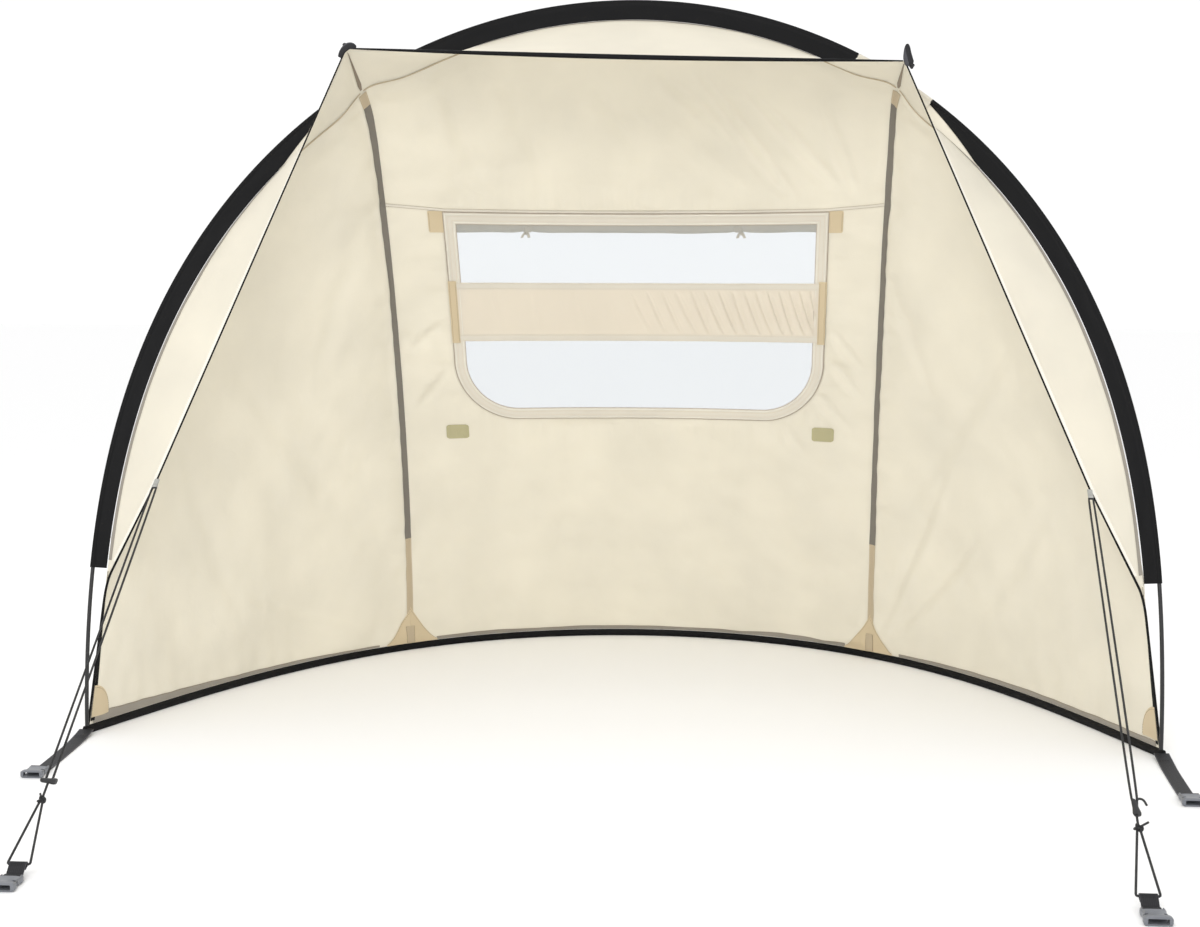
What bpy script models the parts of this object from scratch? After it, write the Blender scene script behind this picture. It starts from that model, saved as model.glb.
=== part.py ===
"""Hot tub canopy: a fabric shelter on springy poles, open to the front, that buckles to the rim of an inflatable tub.

Metres, +X to the right seen from the front, +Y to the rear, +Z up. The sizes below are measured from midway
between the two front corners, on the underside of the base ring. ORIGIN then moves everything so that the origin
is the middle of the whole footprint, straps included.
"""

from math import cos, pi, radians, sin

import bmesh
import bpy
import numpy as np

# Base ring, from corner to corner
HALF_WIDTH = 0.915
RING_HEIGHT = 0.014
RING_DEPTH = 0.010
RING_CHAMFER = 0.0025
RING_END_ANGLE = radians(72.2)
RING_SHOULDER_ANGLE = radians(-2.7)

# Arch pole, standing on the ring's ends and leaning back
POLE_RADIUS = 0.0035
ARCH_HALF_SPAN = 0.911
ARCH_END_ANGLE = radians(86.43)
ARCH_SHOULDER_ANGLE = radians(4.10)
ARCH_BACK = 0.40
ARCH_LEAN_GROWTH = 1.5

# The arch's fin-like sleeves
FIN_WIDTH_TOP = 0.0377
FIN_WIDTH_FOOT = 0.0234
FIN_WIDTH_KNEE = 0.0142
FIN_DIP_LENGTH = 0.050
FIN_CLOTH = 0.0008
FIN_CLEARANCE = 0.0009
FIN_LAYER = 0.0009
FIN_HEM = 0.0022
FIN_TAPER = 0.17
FIN_TIP = 0.009
TOP_SLEEVE_END_X = 0.415
SIDE_SLEEVE_END_X = 0.545
SIDE_SLEEVE_FOOT = 0.285

# Ribs
RIB_X = 0.487
RIB_CORNER_Y = 0.405
RIB_BULGE = 0.17
RIB_KNEE_RADIUS = 0.055
RIB_OFFSET = 0.0062
RIB_SIDE_TILT = radians(26)
RIB_SLEEVE_FOOT = 0.245
RIB_SLEEVE_HEAD = 1.115
RIB_CLEARANCE = 0.0006
SLEEVE_CLOTH = 0.0007
POCKET_HEAD = 0.052
POCKET_SEAT = 0.0036
ROD_TIP = 0.0036

# Front edge
PEAK_Y = 0.20
PEAK_HEIGHT = {"left": 1.190, "right": 1.162}
FRONT_GUY_POINT = (0.790, 0.041, 0.443)
VISOR_TIP_HEIGHT = 0.262
SIDE_PANEL_TIP_HEIGHT = 0.298
VISOR_STRIP_FOOT = 0.280
PIPING_RADIUS = 0.0022
PIPING_TOP_RADIUS = 0.0029
PIPING_SEAT = 0.009

# Cloth
GAP = 0.0004
FABRIC = 0.0016
TRIM = 0.0008
BASE_TRIM = 0.0004
ARCH_TRIM = 0.0018
VISOR_TRIM = 0.0026
PIPING_TRIM = PIPING_RADIUS + 2 * GAP
PIPING_TOP_TRIM = PIPING_TOP_RADIUS + 2 * GAP
TAPE_CLOTH = 0.0008
TAPE_LAYER = 0.0013

# Window in the back panel
WINDOW_HALF_WIDTH = 0.376
WINDOW_FOOT = 0.498
WINDOW_HEAD = 0.916
WINDOW_CORNER = 0.120
PANE = 0.0008
BINDING = 0.011
BAND_FOOT = 0.662
BAND_HEAD = 0.782
BAND_OVERLAP = 0.004
END_TAPE = 0.015
SEAM_TAPE_HEIGHT = 0.9295
SEAM_TAPE = 0.008
HOOK_PATCH_X = (0.360, 0.404)
HOOK_PATCH_Z = (0.456, 0.483)
ROLL_RADIUS = 0.015
ROLL_HEIGHT = 0.888
TIE_X = {"left": -0.218, "right": 0.201}
TIE_WIDTH = 0.015

# Webbing and buckles
WEBBING_WIDTH = 0.025
WEBBING = 0.0013
BUCKLE_WIDTH = 0.036
BUCKLE_LENGTH = 0.040
BUCKLE_HEIGHT = 0.012
BUCKLE_CORNER = 0.004
MOUTH_WIDTH = 0.026
MOUTH_HEIGHT = 0.0065
MOUTH_DEPTH = 0.024
SIDE_WINDOW = (0.009, 0.020)
SIDE_WINDOW_HEIGHT = 0.0056
SLOT_WIDTH = 0.0265
SLOT_LENGTH = 0.005
BAR = 0.0035
BAR_HEIGHT = 0.005
CORNER_BUCKLE = (0.898, -0.262)
GUY_BUCKLE = (0.728, -0.788)

# Guy lines
CORD_RADIUS = 0.0017
CORD_BEND = 0.0020
LEG_SPREAD = 0.0048
TAB_WIDTH = 0.0044
TAB_START = 0.0034
TAB_TURN = 0.026
TENSIONER = (0.815, 0.850)
STRAND = 0.012
KNOT = 0.012
LOOP_SPREAD = 0.0153
GUY_STRAP_RUN = 0.022
GUY_STRAP_RISE = 0.0185
HEM_FLAP = 0.008

SIDES = {"left": -1, "right": 1}
ACROSS = np.array([1.0, 0.0, 0.0])
ORIGIN = np.array([0.0, 0.0866, 0.0])

for thing in list(bpy.data.objects):
    bpy.data.objects.remove(thing, do_unlink=True)

CREAM = ((0.79, 0.73, 0.60), 0.75)
BLACK = ((0.012, 0.012, 0.013), 0.80)
POLE_BLACK = ((0.015, 0.015, 0.016), 0.35)
TAPE = ((0.62, 0.52, 0.38), 0.80)
GREY = ((0.30, 0.32, 0.35), 0.45)
OLIVE = ((0.33, 0.30, 0.18), 0.95)
CLEAR = ((0.90, 0.94, 0.97), 0.08, 0.35)


def finish(name, colour, roughness, alpha=1.0):
    """A plain material for one object."""
    material = bpy.data.materials.new(name)
    material.use_nodes = True
    shader = material.node_tree.nodes["Principled BSDF"]
    shader.inputs["Base Color"].default_value = (*colour, 1.0)
    shader.inputs["Roughness"].default_value = roughness
    shader.inputs["Alpha"].default_value = alpha
    return material


def unit(vectors):
    """Vectors scaled to length 1."""
    vectors = np.asarray(vectors, float)
    return vectors / np.linalg.norm(vectors, axis=-1, keepdims=True)


def resample(points, count):
    """Points spaced evenly along a line of points."""
    points = np.asarray(points, float)
    run = np.r_[0, np.cumsum(np.linalg.norm(np.diff(points, axis=0), axis=1))]
    at = np.linspace(0, run[-1], count)
    return np.column_stack([np.interp(at, run, points[:, axis]) for axis in range(3)])


def at_index(points, index):
    """A point between two of an array's rows."""
    rows = np.arange(len(points))
    return np.array([np.interp(index, rows, points[:, axis]) for axis in range(3)])


def between(points, start, end, count):
    """Evenly spaced points of a dense line between two of its indices."""
    return resample([at_index(points, row) for row in np.linspace(start, end, 200)], count)


def at_height(points, height):
    """The point of a rising line at a height."""
    return np.array([np.interp(height, points[:, 2], points[:, axis]) for axis in range(3)])


def arc(centre, first, second, radius, start, end, count):
    """Points on part of a circle, by its angle in degrees from the first direction towards the second."""
    angles = np.radians(np.linspace(start, end, count))
    return np.array([centre + radius * (first * cos(a) + second * sin(a)) for a in angles])


def ellipse(centre, first, second, count):
    """Points round an ellipse whose half axes are two vectors."""
    angles = 2 * pi * (np.arange(count) + 0.5) / count
    return [centre + first * cos(a) + second * sin(a) for a in angles]


def bowed_rod(half_span, end_angle, shoulder_angle, count=801):
    """Outline of a springy rod bowed between two ends: its heading turns from +end_angle to -end_angle."""
    share = (np.arange(count - 1) + 0.5) / (count - 1)
    heading = end_angle * np.cos(pi * share) + shoulder_angle * np.cos(3 * pi * share)
    across = np.r_[0, np.cumsum(np.cos(heading))]
    rise = np.r_[0, np.cumsum(np.sin(heading))]
    scale = 2 * half_span / across[-1]
    return across * scale - half_span, np.maximum(rise * scale, 0)


def line_of_ring(height):
    """The base ring's centre line at a height, from the left corner to the right one."""
    across, back = bowed_rod(HALF_WIDTH, RING_END_ANGLE, RING_SHOULDER_ANGLE)
    return np.column_stack([across, back, np.full_like(across, height)])


def line_of_arch():
    """The arch pole's centre line, leaning back more the higher it is, from the left foot to the right one."""
    across, rise = bowed_rod(ARCH_HALF_SPAN, ARCH_END_ANGLE, ARCH_SHOULDER_ANGLE)
    back = ARCH_BACK * (rise / rise.max()) ** ARCH_LEAN_GROWTH
    return np.column_stack([across, back, rise + RING_HEIGHT + 2 * GAP])


RING = line_of_ring(RING_HEIGHT / 2)
RING_TOP = line_of_ring(RING_HEIGHT + GAP)
RING_STEP = np.linalg.norm(RING[1] - RING[0])
ARCH = line_of_arch()
ARCH_ROWS = np.arange(len(ARCH))
ARCH_STATIONS = np.linspace(0, len(ARCH) - 1, 61)
ARCH_TANGENT = unit(np.gradient(ARCH, axis=0))


def inward_of_arch():
    """At each point of the arch, the direction from the pole to the fabric, square to it in its leaning plane."""
    height = ARCH[:, 2] / ARCH[:, 2].max()
    lean = ARCH_BACK * ARCH_LEAN_GROWTH / ARCH[:, 2].max() * height ** (ARCH_LEAN_GROWTH - 1)
    forward = unit(np.column_stack([np.zeros(len(ARCH)), -np.ones(len(ARCH)), lean]))
    inward = unit(np.cross(forward, ARCH_TANGENT))
    middle = np.array([0.0, 0.2, 0.5])
    facing = np.sum(inward * (middle - ARCH), axis=1, keepdims=True)
    return inward * np.sign(facing)


ARCH_INWARD = inward_of_arch()
UPPER = ARCH[:, 2] > 1.0


def arch_index(across):
    """Index, as a real number, of the upper arch point at this x."""
    return np.interp(across, ARCH[UPPER, 0], ARCH_ROWS[UPPER])


def fin_width():
    """Pole centre to fabric seam along the arch: widest at the top, and pinched in where each rib crosses."""
    run = np.r_[0, np.cumsum(np.linalg.norm(np.diff(ARCH, axis=0), axis=1))]
    height = ARCH[:, 2] / ARCH[:, 2].max()
    width = FIN_WIDTH_FOOT + (FIN_WIDTH_TOP - FIN_WIDTH_FOOT) * height
    for side in SIDES.values():
        knee = np.interp(arch_index(side * RIB_X), ARCH_ROWS, run)
        pinch = np.exp(-(((run - knee) / FIN_DIP_LENGTH) ** 2))
        width = width - (width - FIN_WIDTH_KNEE) * pinch
    return width


FIN = fin_width()
SEAM = ARCH + ARCH_INWARD * FIN[:, None]


def seam_index(across):
    """Index, as a real number, of the upper seam point at this x."""
    return np.interp(across, SEAM[UPPER, 0], ARCH_ROWS[UPPER])


def seam_low_index(side, height):
    """Index of the seam point at a height, low on one side."""
    lower = (ARCH_ROWS - len(ARCH) / 2) * side > 0
    order = np.argsort(SEAM[lower, 2])
    return np.interp(height, SEAM[lower, 2][order], ARCH_ROWS[lower][order])


def ring_index(across):
    """Index of the base ring's point at this x."""
    return np.interp(across, RING[:, 0], np.arange(len(RING)))


def ring_end_index(side, inset):
    """Index of the base ring's point a distance in from one of its ends."""
    steps = inset / RING_STEP
    return steps if side < 0 else len(RING) - 1 - steps


def rib_seam(name):
    """The fabric's seam along one rib: a bow from the base ring, a tight knee, and straight on to the peak."""
    side = SIDES[name]
    foot = at_index(RING_TOP, ring_index(side * RIB_X))[1:]
    knee = at_index(SEAM, seam_index(side * RIB_X))[1:]
    peak = np.array([PEAK_Y, PEAK_HEIGHT[name]])
    slope = (peak - knee) / (peak[0] - knee[0])
    corner = knee + slope * (RIB_CORNER_Y - knee[0])
    chord = corner - foot
    bulge = np.array([chord[1], -chord[0]]) / np.hypot(*chord) * RIB_BULGE
    control = (foot + corner) / 2 + bulge
    bow = quadratic(foot, control, corner, 400)
    bow = bow[np.linalg.norm(bow - corner, axis=1) > RIB_KNEE_RADIUS]
    bow = bow[np.linspace(0, len(bow) - 1, 22).astype(int)]
    turn_end = corner + unit(peak - corner) * RIB_KNEE_RADIUS * 0.75
    turn = quadratic(bow[-1], corner, turn_end, 7)[1:]
    flat = np.vstack([bow, turn, peak])
    return np.column_stack([np.full(len(flat), side * RIB_X), flat])


def quadratic(start, control, end, count):
    """Points on a quadratic curve."""
    share = np.linspace(0, 1, count)[:, None]
    return (1 - share) ** 2 * start + 2 * share * (1 - share) * control + share**2 * end


RIB_SEAM = {name: rib_seam(name) for name in SIDES}


def rib_parts(name):
    """The rib seam cut in two where the arch seam crosses it."""
    line = resample(RIB_SEAM[name], 400)
    knee = at_index(SEAM, seam_index(SIDES[name] * RIB_X))
    crossing = np.argmin(np.linalg.norm(line - knee, axis=1))
    lower = np.vstack([line[:crossing], knee])
    upper = np.vstack([knee, line[crossing + 1 :]])
    return lower, upper


def rib_rod(name):
    """The rib rod's centre line: the rib seam moved out to the side where both panels fall away from it."""
    line = RIB_SEAM[name]
    tangent = unit(np.gradient(line, axis=0))
    back = -unit(np.cross(ACROSS, tangent))
    out = back * cos(RIB_SIDE_TILT) + ACROSS * SIDES[name] * sin(RIB_SIDE_TILT)
    rod = line + out * RIB_OFFSET
    rod[-1] += tangent[-1] * ROD_TIP
    return rod


def front_edge(name):
    """The fabric's front edge on one side: its peak, the guy line's point, the visor's tip and the corner."""
    side = SIDES[name]
    peak = np.array([side * RIB_X, PEAK_Y, PEAK_HEIGHT[name]])
    guy = np.array(FRONT_GUY_POINT) * [side, 1, 1]
    tip = at_index(SEAM, seam_low_index(side, VISOR_TIP_HEIGHT))
    corner = at_index(RING_TOP, ring_end_index(side, PIPING_SEAT)) + [0, 0, GAP]
    return peak, guy, tip, corner


def blend_patch(bottom, top, left, right):
    """Grid of points stretched over four edge lines. Bottom and top run left to right, the others bottom to top."""
    u = np.linspace(0, 1, len(bottom))[:, None, None]
    v = np.linspace(0, 1, len(left))[None, :, None]
    along = (1 - v) * bottom[:, None] + v * top[:, None]
    up = (1 - u) * left[None] + u * right[None]
    low = (1 - u) * bottom[0] + u * bottom[-1]
    high = (1 - u) * top[0] + u * top[-1]
    return along + up - ((1 - v) * low + v * high)


def trimmed(grid, left=TRIM, right=TRIM, bottom=TRIM, top=TRIM):
    """The grid with each edge drawn in by a distance along the surface."""
    grid = grid.copy()
    for edge, inner, by in ((0, 1, left), (-1, -2, right)):
        grid[edge] += unit(grid[inner] - grid[edge]) * by
    for edge, inner, by in ((0, 1, bottom), (-1, -2, top)):
        grid[:, edge] += unit(grid[:, inner] - grid[:, edge]) * by
    return grid


def grid_normals(grid):
    """Unit normals of a grid of points."""
    return unit(np.cross(np.gradient(grid, axis=0), np.gradient(grid, axis=1)))


def outward(grid):
    """The grid, turned so that its normals point away from the inside of the canopy."""
    middle = np.array([0.0, 0.1, 0.5])
    facing = np.sum(grid_normals(grid) * (grid - middle))
    return grid if facing > 0 else grid[::-1]


def add_mesh(name, points, faces, look):
    """A mesh object from points and faces, with its own material."""
    mesh = bpy.data.meshes.new(name)
    mesh.from_pydata([tuple(point - ORIGIN) for point in points], [], faces)
    mesh.update()
    mesh.shade_smooth()
    mesh.set_sharp_from_angle(angle=radians(40))
    mesh.materials.append(finish(name, *look))
    thing = bpy.data.objects.new(name, mesh)
    bpy.context.scene.collection.objects.link(thing)
    return thing


def add_sheet(name, grid, look, thickness):
    """A thin sheet: a grid of points, thickened evenly on both sides."""
    rows, columns = grid.shape[:2]
    faces = [
        (i * columns + j, (i + 1) * columns + j, (i + 1) * columns + j + 1, i * columns + j + 1)
        for i in range(rows - 1)
        for j in range(columns - 1)
    ]
    thing = add_mesh(name, grid.reshape(-1, 3), faces, look)
    cloth = thing.modifiers.new("cloth", "SOLIDIFY")
    cloth.thickness = thickness
    cloth.offset = 0
    return thing


def add_panel(name, grid, look, thickness, offset=0.0):
    """A sheet that faces out of the canopy, moved along its normals by an offset."""
    grid = outward(grid)
    return add_sheet(name, grid + grid_normals(grid) * offset, look, thickness)


def add_band(name, points, across, width, thickness, look):
    """A flat strip along a line of points, with its width along the across direction."""
    points = np.asarray(points, float)
    reach = unit(across) * width / 2
    return add_sheet(name, np.stack([points - reach, points + reach]), look, thickness)


def add_tube(name, points, radius, look, sides=8, wall=None):
    """A rod or cord along a line of points. With a wall it is a hollow sleeve, open at both ends."""
    curve = bpy.data.curves.new(name, "CURVE")
    curve.dimensions = "3D"
    spline = curve.splines.new("POLY")
    spline.points.add(len(points) - 1)
    for knot, point in zip(spline.points, points):
        knot.co = (*(point - ORIGIN), 1)
    curve.bevel_depth = radius
    curve.bevel_resolution = (sides - 4) // 2
    curve.use_fill_caps = wall is None
    curve.materials.append(finish(name, *look))
    thing = bpy.data.objects.new(name, curve)
    bpy.context.scene.collection.objects.link(thing)
    if wall is not None:
        cloth = thing.modifiers.new("wall", "SOLIDIFY")
        cloth.thickness = wall
        cloth.offset = -1


def add_sweep(name, rings, look):
    """A solid through rings of points that follow each other, closed by a cap at each end."""
    count = len(rings[0])
    faces = [
        (i * count + j, i * count + (j + 1) % count, (i + 1) * count + (j + 1) % count, (i + 1) * count + j)
        for i in range(len(rings) - 1)
        for j in range(count)
    ]
    faces.append(tuple(reversed(range(count))))
    faces.append(tuple((len(rings) - 1) * count + j for j in range(count)))
    points = [point for ring in rings for point in ring]
    thing = add_mesh(name, points, faces, look)
    shape = bmesh.new()
    shape.from_mesh(thing.data)
    bmesh.ops.recalc_face_normals(shape, faces=shape.faces)
    shape.to_mesh(thing.data)
    shape.free()


def add_prism(name, outline, low, high):
    """A cutter: an outline in x and z, extruded from y = low to y = high."""
    shape = bmesh.new()
    face = shape.faces.new([shape.verts.new((x, low - ORIGIN[1], z)) for x, z in outline])
    extruded = bmesh.ops.extrude_face_region(shape, geom=[face])
    moved = [item for item in extruded["geom"] if isinstance(item, bmesh.types.BMVert)]
    bmesh.ops.translate(shape, verts=moved, vec=(0, high - low, 0))
    bmesh.ops.recalc_face_normals(shape, faces=shape.faces)
    mesh = bpy.data.meshes.new(name)
    shape.to_mesh(mesh)
    shape.free()
    thing = bpy.data.objects.new(name, mesh)
    bpy.context.scene.collection.objects.link(thing)
    thing.hide_render = True
    thing.display_type = "WIRE"
    return thing


def cut(thing, cutter, operation="DIFFERENCE"):
    """Adds a Boolean modifier."""
    modifier = thing.modifiers.new(cutter.name, "BOOLEAN")
    modifier.object = cutter
    modifier.operation = operation


def window_outline(grow):
    """The window's outline in x and z, square at the top and round at the bottom, grown by a margin."""
    half = WINDOW_HALF_WIDTH + grow
    low = WINDOW_FOOT - grow
    high = WINDOW_HEAD + grow
    corner = WINDOW_CORNER + grow
    outline = [(half, high), (-half, high)]
    for centre, start in ((-half + corner, pi), (half - corner, 1.5 * pi)):
        angles = start + np.linspace(0, pi / 2, 7)
        outline += [(centre + corner * cos(a), low + corner + corner * sin(a)) for a in angles]
    return outline


def box_outline(low_x, high_x, low_z, high_z):
    """A rectangle in x and z."""
    return [(low_x, low_z), (high_x, low_z), (high_x, high_z), (low_x, high_z)]


def back_grid(columns=15, rows=16):
    """The back panel's surface between the two ribs, the base ring and the arch seam."""
    bottom = between(RING_TOP, ring_index(-RIB_X), ring_index(RIB_X), columns)
    top = between(SEAM, seam_index(-RIB_X), seam_index(RIB_X), columns)
    left = resample(rib_parts("left")[0], rows)
    right = resample(rib_parts("right")[0], rows)
    return blend_patch(bottom, top, left, right)


BACK = outward(back_grid())
BACK_NORMALS = grid_normals(BACK)


def on_back_panel(values, across, height):
    """A value of each of the back panel's grid points, read off at this x and z."""
    strips = [
        [np.interp(height, line[:, 2], column) for column in np.column_stack([line[:, 0], value]).T]
        for line, value in zip(BACK, values)
    ]
    strips = np.array(sorted(strips))
    return np.array([np.interp(across, strips[:, 0], strips[:, axis]) for axis in (1, 2, 3)])


def make_back_panel():
    """The back panel, with its window cut out."""
    panel = add_panel("back_panel", trimmed(BACK, bottom=BASE_TRIM, top=ARCH_TRIM), CREAM, FABRIC)
    cut(panel, add_prism("cut_window", window_outline(0), 0.2, 1.2))


def make_side_panel(name):
    """One side panel, from the rib to just behind the front edge's piping."""
    side = SIDES[name]
    seat = PIPING_SEAT + PIPING_TRIM + FABRIC / 2
    rib = resample(rib_parts(name)[0], 13)
    bottom = between(RING_TOP, ring_index(side * RIB_X), ring_end_index(side, seat), 11)
    top = between(SEAM, seam_index(side * RIB_X), seam_low_index(side, SIDE_PANEL_TIP_HEIGHT), 11)
    front = resample([bottom[-1], top[-1]], 13)
    grid = trimmed(blend_patch(bottom, top, rib, front), right=0, bottom=BASE_TRIM, top=ARCH_TRIM)
    add_panel(f"side_panel_{name}", grid, CREAM, FABRIC)


def make_visor_roof():
    """The visor's roof, from the arch seam forward to the straight front edge."""
    front = resample([front_edge("left")[0], front_edge("right")[0]], 15)
    back = between(SEAM, seam_index(-RIB_X), seam_index(RIB_X), 15)
    left = resample(rib_parts("left")[1][::-1], 5)
    right = resample(rib_parts("right")[1][::-1], 5)
    grid = trimmed(blend_patch(front, back, left, right), bottom=PIPING_TOP_TRIM, top=ARCH_TRIM)
    add_panel("visor_roof", grid, CREAM, FABRIC)


def make_visor_side(name):
    """One side strip of the visor, narrowing from the rib's end to a tip low on the arch."""
    side = SIDES[name]
    peak, guy, tip, _ = front_edge(name)
    back = between(SEAM, seam_index(side * RIB_X), seam_low_index(side, VISOR_STRIP_FOOT), 17)
    foot = guy + (tip - guy) * (guy[2] - VISOR_STRIP_FOOT) / (guy[2] - tip[2])
    front = resample([peak, guy, foot], 17)
    across = unit(back - front)
    front = front + across * PIPING_TRIM
    back = back - across * VISOR_TRIM
    bridge = rib_parts(name)[1][::-1]
    head = resample(np.vstack([front[0], bridge[len(bridge) // 8 : -len(bridge) // 8], back[0]]), 5)
    grid = blend_patch(front, back, head, resample([front[-1], back[-1]], 5))
    add_panel(f"visor_side_{name}", trimmed(grid, right=0, bottom=0, top=0), CREAM, FABRIC)


def make_front_piping():
    """The black piping round the front edge: one length across the top, and one down each side to its corner."""
    for name in SIDES:
        peak, guy, tip, corner = front_edge(name)
        start = peak + unit(guy - peak) * PIPING_TRIM
        points = np.vstack([resample([start, guy], 5), tip, corner])
        add_tube(f"front_piping_{name}", points, PIPING_RADIUS, BLACK, sides=6)
    left = front_edge("left")[0]
    right = front_edge("right")[0]
    inset = unit(right - left) * PIPING_TRIM
    add_tube("front_piping_top", resample([left + inset, right - inset], 5), PIPING_TOP_RADIUS, BLACK, sides=6)


def make_base_ring():
    """The base ring: a springy rod in a black sleeve, flat underneath, from corner to corner."""
    line = resample(RING, 45)
    out = unit(np.cross(np.gradient(line, axis=0), [0, 0, 1]))
    half, top = RING_DEPTH / 2, RING_HEIGHT / 2
    profile = [
        (-half, -top), (half, -top), (half, top - RING_CHAMFER), (half - RING_CHAMFER, top),
        (-half + RING_CHAMFER, top), (-half, top - RING_CHAMFER),
    ]
    rings = [[point + normal * a + np.array([0, 0, b]) for a, b in profile] for point, normal in zip(line, out)]
    add_sweep("base_ring", rings, BLACK)


def make_arch_pole():
    """The arch pole, from corner to corner."""
    add_tube("arch_pole", [at_index(ARCH, row) for row in ARCH_STATIONS], POLE_RADIUS, POLE_BLACK)


def fin_ring(station, narrow_end=None):
    """The fold of cloth round the arch pole at one station, from one edge to the other, narrower near one end."""
    centre = at_index(ARCH, station)
    inward = unit(at_index(ARCH_INWARD, station))
    normal = np.cross(unit(at_index(ARCH_TANGENT, station)), inward)
    width = np.interp(station, ARCH_ROWS, FIN) - FIN_HEM
    if narrow_end is not None:
        away = np.linalg.norm(centre - at_index(ARCH, narrow_end))
        width = min(width, FIN_TIP + (FIN_WIDTH_TOP - FIN_TIP) * away / FIN_TAPER)
    seam = centre + inward * width
    reach = POLE_RADIUS + FIN_CLEARANCE + FIN_CLOTH / 2
    fold = arc(centre, inward, normal, reach, 48, 312, 7)
    return [seam + normal * FIN_LAYER, *fold, seam - normal * FIN_LAYER]


def make_arch_sleeves():
    """The arch's three fin-like sleeves, each a strip of cloth folded round the pole and sewn into the arch seam."""
    spans = {
        "left": (seam_low_index(-1, SIDE_SLEEVE_FOOT), arch_index(-SIDE_SLEEVE_END_X)),
        "top": (arch_index(-TOP_SLEEVE_END_X), arch_index(TOP_SLEEVE_END_X)),
        "right": (arch_index(SIDE_SLEEVE_END_X), seam_low_index(1, SIDE_SLEEVE_FOOT)),
    }
    narrow_ends = {"left": spans["left"][1], "top": None, "right": spans["right"][0]}
    for name, (start, end) in spans.items():
        inner = ARCH_STATIONS[(ARCH_STATIONS > start + 2) & (ARCH_STATIONS < end - 2)]
        grid = [fin_ring(station, narrow_ends[name]) for station in (start, *inner, end)]
        add_sheet(f"arch_sleeve_{name}", np.array(grid), BLACK, FIN_CLOTH)


def make_rib(name):
    """One rib: its rod, the black sleeve over its middle, and the pocket at its foot."""
    rod = rib_rod(name)
    add_tube(f"rib_pole_{name}", rod, POLE_RADIUS, POLE_BLACK)
    outer = POLE_RADIUS + RIB_CLEARANCE + SLEEVE_CLOTH
    inner = rod[(rod[:, 2] > RIB_SLEEVE_FOOT) & (rod[:, 2] < RIB_SLEEVE_HEAD)]
    covered = [at_height(rod, RIB_SLEEVE_FOOT), *inner, at_height(rod, RIB_SLEEVE_HEAD)]
    add_tube(f"rib_sleeve_{name}", covered, outer, BLACK, wall=SLEEVE_CLOTH)
    pocket = [at_height(rod, RING_HEIGHT + 0.003), at_height(rod, POCKET_HEAD)]
    add_tube(f"base_pocket_{name}", pocket, outer, TAPE, wall=SLEEVE_CLOTH)


def make_peak_pocket(name):
    """The pointed webbing pocket that takes the rib's tip at one end of the front edge."""
    levels = [(-0.005, 0.0070, 0.0030), (0.008, 0.0100, 0.0045), (0.020, 0.0080, 0.0040), (0.034, 0.0028, 0.0022)]
    across = SIDES[name] * (RIB_X + 0.003)
    before, tip = rib_rod(name)[-2:]
    rod_front = tip[1] - POLE_RADIUS * abs(unit(tip - before)[2])
    back = rod_front - GAP - POCKET_SEAT
    rings = []
    for rise, half_width, half_depth in levels:
        centre = np.array([across, back, PEAK_HEIGHT[name] + rise])
        rings.append(ellipse(centre, ACROSS * half_width, np.array([0, half_depth, 0]), 8))
    add_sweep(f"peak_pocket_{name}", rings, BLACK)


def window_piece(name, outline, look, thickness, offset, hole=None):
    """A piece of the window that lies on the back panel's surface inside an outline."""
    piece = add_panel(name, BACK, look, thickness, offset)
    cut(piece, add_prism(f"cut_{name}", outline, 0.2, 1.2), "INTERSECT")
    if hole is not None:
        cut(piece, add_prism(f"hole_{name}", hole, 0.2, 1.2))


def make_window():
    """The clear window, its binding, the satin band across it with an end tape at each side, and the tapes near it."""
    on_panel = -(FABRIC + TAPE_CLOTH) / 2 - 2 * GAP
    on_binding = on_panel - TAPE_LAYER
    on_band = on_binding - TAPE_LAYER
    window_piece("window_pane", window_outline(-GAP), CLEAR, PANE, 0.0)
    hole = window_outline(-BINDING / 2)
    window_piece("window_binding", window_outline(BINDING / 2), TAPE, TAPE_CLOTH, on_panel, hole)
    half = WINDOW_HALF_WIDTH + BAND_OVERLAP
    band = box_outline(-half, half, BAND_FOOT, BAND_HEAD)
    window_piece("window_band", band, CREAM, TAPE_CLOTH, on_binding)
    for name, side in SIDES.items():
        low_x, high_x = sorted((side * (half + 0.001), side * (half + 0.001 - END_TAPE)))
        end_tape = box_outline(low_x, high_x, BAND_FOOT - 0.001, BAND_HEAD + 0.001)
        window_piece(f"band_end_tape_{name}", end_tape, TAPE, TAPE_CLOTH, on_band)
        low_x, high_x = sorted(side * x for x in HOOK_PATCH_X)
        window_piece(f"hook_patch_{name}", box_outline(low_x, high_x, *HOOK_PATCH_Z), OLIVE, TAPE_CLOTH, on_panel)
    half = RIB_X - 0.003
    tape = box_outline(-half, half, SEAM_TAPE_HEIGHT - SEAM_TAPE / 2, SEAM_TAPE_HEIGHT + SEAM_TAPE / 2)
    window_piece("seam_tape", tape, TAPE, TAPE_CLOTH, on_panel)


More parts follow.
